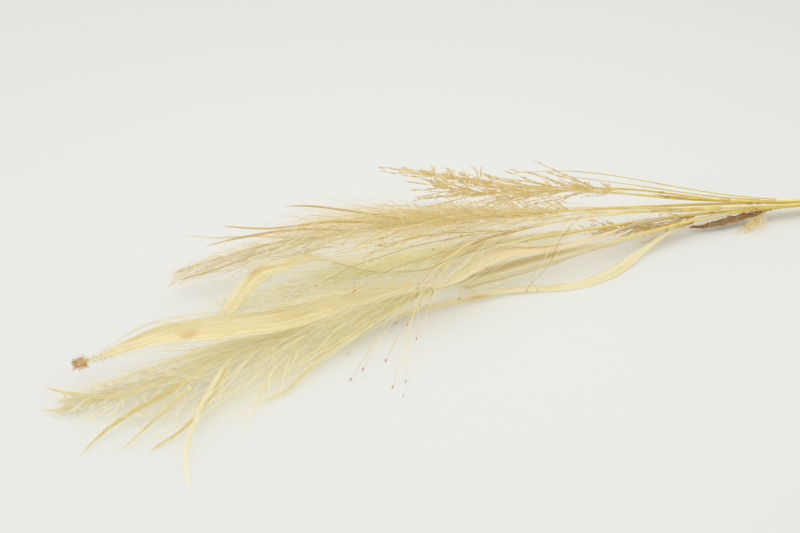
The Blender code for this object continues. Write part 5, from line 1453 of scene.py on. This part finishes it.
def build_bristles(lines, look):
    """A spray of wiry bristles arching over the leaves, each with a small knob at its tip."""
    rng = np.random.default_rng(29)
    line, radii = lines["spray"]
    core, sizes = cut_line(line, radii, STALKS["spray"]["head"] - GAP, line[-1, 0], 4.0)
    mass = Mass()
    stem(mass, core, sizes, CORE_SIDES, 0.2, np.full(len(core), 0.0))
    wires = []
    for way in BRISTLES:
        near = int(np.argmin(np.abs(core[:, 0] - way[0][0])))
        wires.append(smooth([tuple(core[near])] + way[1:], BRISTLE_STATIONS))
    for k in range(EXTRA_BRISTLES):
        way = np.array(BRISTLES[k % len(BRISTLES)], float)
        stop = rng.integers(3, len(way) + 1)
        way = way[:stop] + rng.normal(0, 1, (stop, 3)) * (2, 2.4, 1.2) * np.linspace(0.3, 1.6, stop)[:, None]
        near = int(np.argmin(np.abs(core[:, 0] - way[0][0])))
        way[0] = core[near]
        wires.append(smooth([tuple(p) for p in way], BRISTLE_STATIONS))
    for k in range(LONG_BRISTLES):
        wires.append(long_bristle(line, rng, BRISTLES[k % len(BRISTLES)]))
    t = np.linspace(0, 1, BRISTLE_STATIONS)
    bow = np.sin(math.pi * t)[:, None]
    wires = [w + np.stack([wander(rng, t, 0.3, 1.5) for _ in range(3)], axis=1) * bow for w in wires]
    wires = above_table(np.array(wires), 0.3)
    count = len(wires)
    thick = np.where(np.arange(count) < len(BRISTLES), 0.33, rng.uniform(0.15, 0.28, count))
    marks = np.broadcast_to(np.clip((t - 0.93) * 8, 0, 0.6), (count, BRISTLE_STATIONS))
    tint = rng.random(count) * np.where(np.arange(count) < count - LONG_BRISTLES, 1.0, 0.7)
    rods(mass, wires, thick[:, None] * np.interp(t, [0, 0.8, 1], [1, 0.75, 0.5]), 4, tint,
         np.full(count, 0.5), marks)
    ends = wires[:, -1]
    way = unit(wires[:, -1] - wires[:, -3])
    knob = above_table(ends[:, None] + way[:, None] * np.array([-0.8, 0.2, 1.2, 2.0])[:, None], 0.4)
    sizes = np.array([[0.2, 0.5, 0.4, 0.0]]).repeat(count, 0) * (thick * 3)[:, None].clip(0.3, 0.95)
    rods(mass, knob, sizes, 6, rng.random(count), np.full(count, 0.5),
         np.clip(thick * 2.2, 0, 0.75)[:, None].repeat(4, 1))
    piece("wiry_bristle_spray", mass, look, "bristle", "bristle_spray", casts=False)


def build_tuft(lines, look):
    """Short fluff that hangs under the bunch beside the husk."""
    rng = np.random.default_rng(3)
    start = hanging_start(TUFT, lines, (0.0, 0.2, 1.0), 0.75)
    core = smooth([tuple(p) for p in start[:2]] + TUFT["way"], TUFT["rings"])
    mass = Mass()
    radii = np.linspace(*TUFT["radii"], TUFT["rings"])
    stem(mass, core, radii, CORE_SIDES, 0.5, np.full(TUFT["rings"], 0.4))
    branches, shares = head_branches(core, rng, TUFT["branches"], TUFT["reach"], TUFT["lean"], TUFT["squash"])
    branches = above_table(branches)
    fill_head(mass, branches, shares, rng, 0.6)
    hairs(mass, branches, shares, rng, per_mm=1.8, length=6.0, spread_out=0.9, fine=0.08)
    piece("airy_tuft_low", mass, look, "seed", "tuft_low", casts=False)


# The setting

CAMERA_TARGET = (-0.118, 0.048, 0.0)
CAMERA_DISTANCE = 0.8
CAMERA_TURN = math.radians(26)
CAMERA_TILT = math.radians(33)
LENS = 50
SENSOR = 36
FLOOR_SIZE = 6.0
FLOOR_LEVEL = -0.0002
# The floor's colour far from the bundle and near it: the darker far colour is painted light falloff, not the
# table's own colour.
FLOOR_FAR = (0.725, 0.73, 0.70, 1.0)
FLOOR_NEAR = (0.80, 0.806, 0.772, 1.0)
PAINTED_FALLOFF_MIDDLE = (-0.06, -0.02, 0.0)
PAINTED_FALLOFF_RADIUS = 0.75
ROOM_STRENGTH = 0.76
LAMP_POWER = 17.0
LAMP_SIZE = (2.6, 2.0)
LAMP_PLACE = (-0.3, 0.25, 1.9)
LAMP_TURN = (math.radians(-8), math.radians(-8), 0.0)


def build_camera():
    """A camera looking down on the bundle from its front, at the photograph's angle."""
    level = math.cos(CAMERA_TILT)
    ahead = Vector((math.sin(CAMERA_TURN) * level, math.cos(CAMERA_TURN) * level, -math.sin(CAMERA_TILT)))
    right = Vector((math.cos(CAMERA_TURN), -math.sin(CAMERA_TURN), 0.0))
    up = right.cross(ahead)
    lens = bpy.data.cameras.new("camera")
    lens.lens = LENS
    lens.sensor_width = SENSOR
    camera = bpy.data.objects.new("camera", lens)
    place = Vector(CAMERA_TARGET) - ahead * CAMERA_DISTANCE
    camera.matrix_world = Matrix((
        (right.x, up.x, -ahead.x, place.x),
        (right.y, up.y, -ahead.y, place.y),
        (right.z, up.z, -ahead.z, place.z),
        (0.0, 0.0, 0.0, 1.0)))
    bpy.context.scene.collection.objects.link(camera)
    bpy.context.scene.camera = camera


def build_floor():
    """A pale table top, wide enough to fill every view, with painted light falloff: it darkens gently away
    from the bundle.
    """
    mesh = bpy.data.meshes.new("floor")
    corners = [(x * FLOOR_SIZE, y * FLOOR_SIZE, FLOOR_LEVEL) for x, y in ((-1, -1), (1, -1), (1, 1), (-1, 1))]
    mesh.from_pydata(corners, [], [(0, 1, 2, 3)])
    look = bpy.data.materials.new("floor")
    look.use_nodes = True
    shader = look.node_tree.nodes["Principled BSDF"]
    place = look.node_tree.nodes.new("ShaderNodeTexCoord")
    centred = look.node_tree.nodes.new("ShaderNodeMapping")
    centred.vector_type = "TEXTURE"
    centred.inputs["Location"].default_value = PAINTED_FALLOFF_MIDDLE
    centred.inputs["Scale"].default_value = (PAINTED_FALLOFF_RADIUS, PAINTED_FALLOFF_RADIUS, PAINTED_FALLOFF_RADIUS)
    # A spherical gradient paints the light falloff away from the bundle.
    ball = look.node_tree.nodes.new("ShaderNodeTexGradient")
    ball.gradient_type = "SPHERICAL"
    fade = look.node_tree.nodes.new("ShaderNodeMix")
    fade.data_type = "RGBA"
    far, near = [socket for socket in fade.inputs if socket.type == "RGBA"]
    far.default_value = FLOOR_FAR
    near.default_value = FLOOR_NEAR
    link = look.node_tree.links.new
    link(place.outputs["Object"], centred.inputs["Vector"])
    link(centred.outputs["Vector"], ball.inputs["Vector"])
    link(ball.outputs["Fac"], fade.inputs["Factor"])
    link([socket for socket in fade.outputs if socket.type == "RGBA"][0], shader.inputs["Base Color"])
    shader.inputs["Roughness"].default_value = 0.75
    shader.inputs["Specular IOR Level"].default_value = 0.2
    mesh.materials.append(look)
    floor = bpy.data.objects.new("floor", mesh)
    bpy.context.scene.collection.objects.link(floor)


def build_light():
    """Soft studio light: a bright room and one large lamp overhead."""
    world = bpy.data.worlds.new("room")
    world.use_nodes = True
    world.node_tree.nodes["Background"].inputs["Color"].default_value = (1.0, 1.0, 1.0, 1.0)
    world.node_tree.nodes["Background"].inputs["Strength"].default_value = ROOM_STRENGTH
    bpy.context.scene.world = world
    lamp = bpy.data.lights.new("overhead", "AREA")
    lamp.shape = "RECTANGLE"
    lamp.size, lamp.size_y = LAMP_SIZE
    lamp.energy = LAMP_POWER
    thing = bpy.data.objects.new("overhead", lamp)
    thing.location = LAMP_PLACE
    thing.rotation_euler = LAMP_TURN
    bpy.context.scene.collection.objects.link(thing)
    bpy.context.scene.view_settings.view_transform = "Standard"


def main():
    """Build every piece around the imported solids."""
    lines = settled_stalks()
    straw = straw_look()
    leaf = leaf_look()
    seed = seed_look()
    build_stalks(lines, straw)
    for k, (name, shape) in enumerate(LEAVES.items()):
        build_leaf(name, shape, lines, leaf, 40 + k)
    for name in SHEATHS:
        build_sheath(name, lines, straw)
    build_husk(lines, husk_look())
    build_bristles(lines, bristle_look())
    build_inner_head(lines, seed)
    build_tuft(lines, seed)
    for name, plume in PLUMES.items():
        material, *colours = PLUME_COLOURS[name]
        build_plume(name, plume, lines, plume_look(material, *(srgb(*colour) for colour in colours)))
    for name, head in HEADS.items():
        build_seed_head(name, head, lines, seed)
    build_floor()
    build_light()
    build_camera()


main()
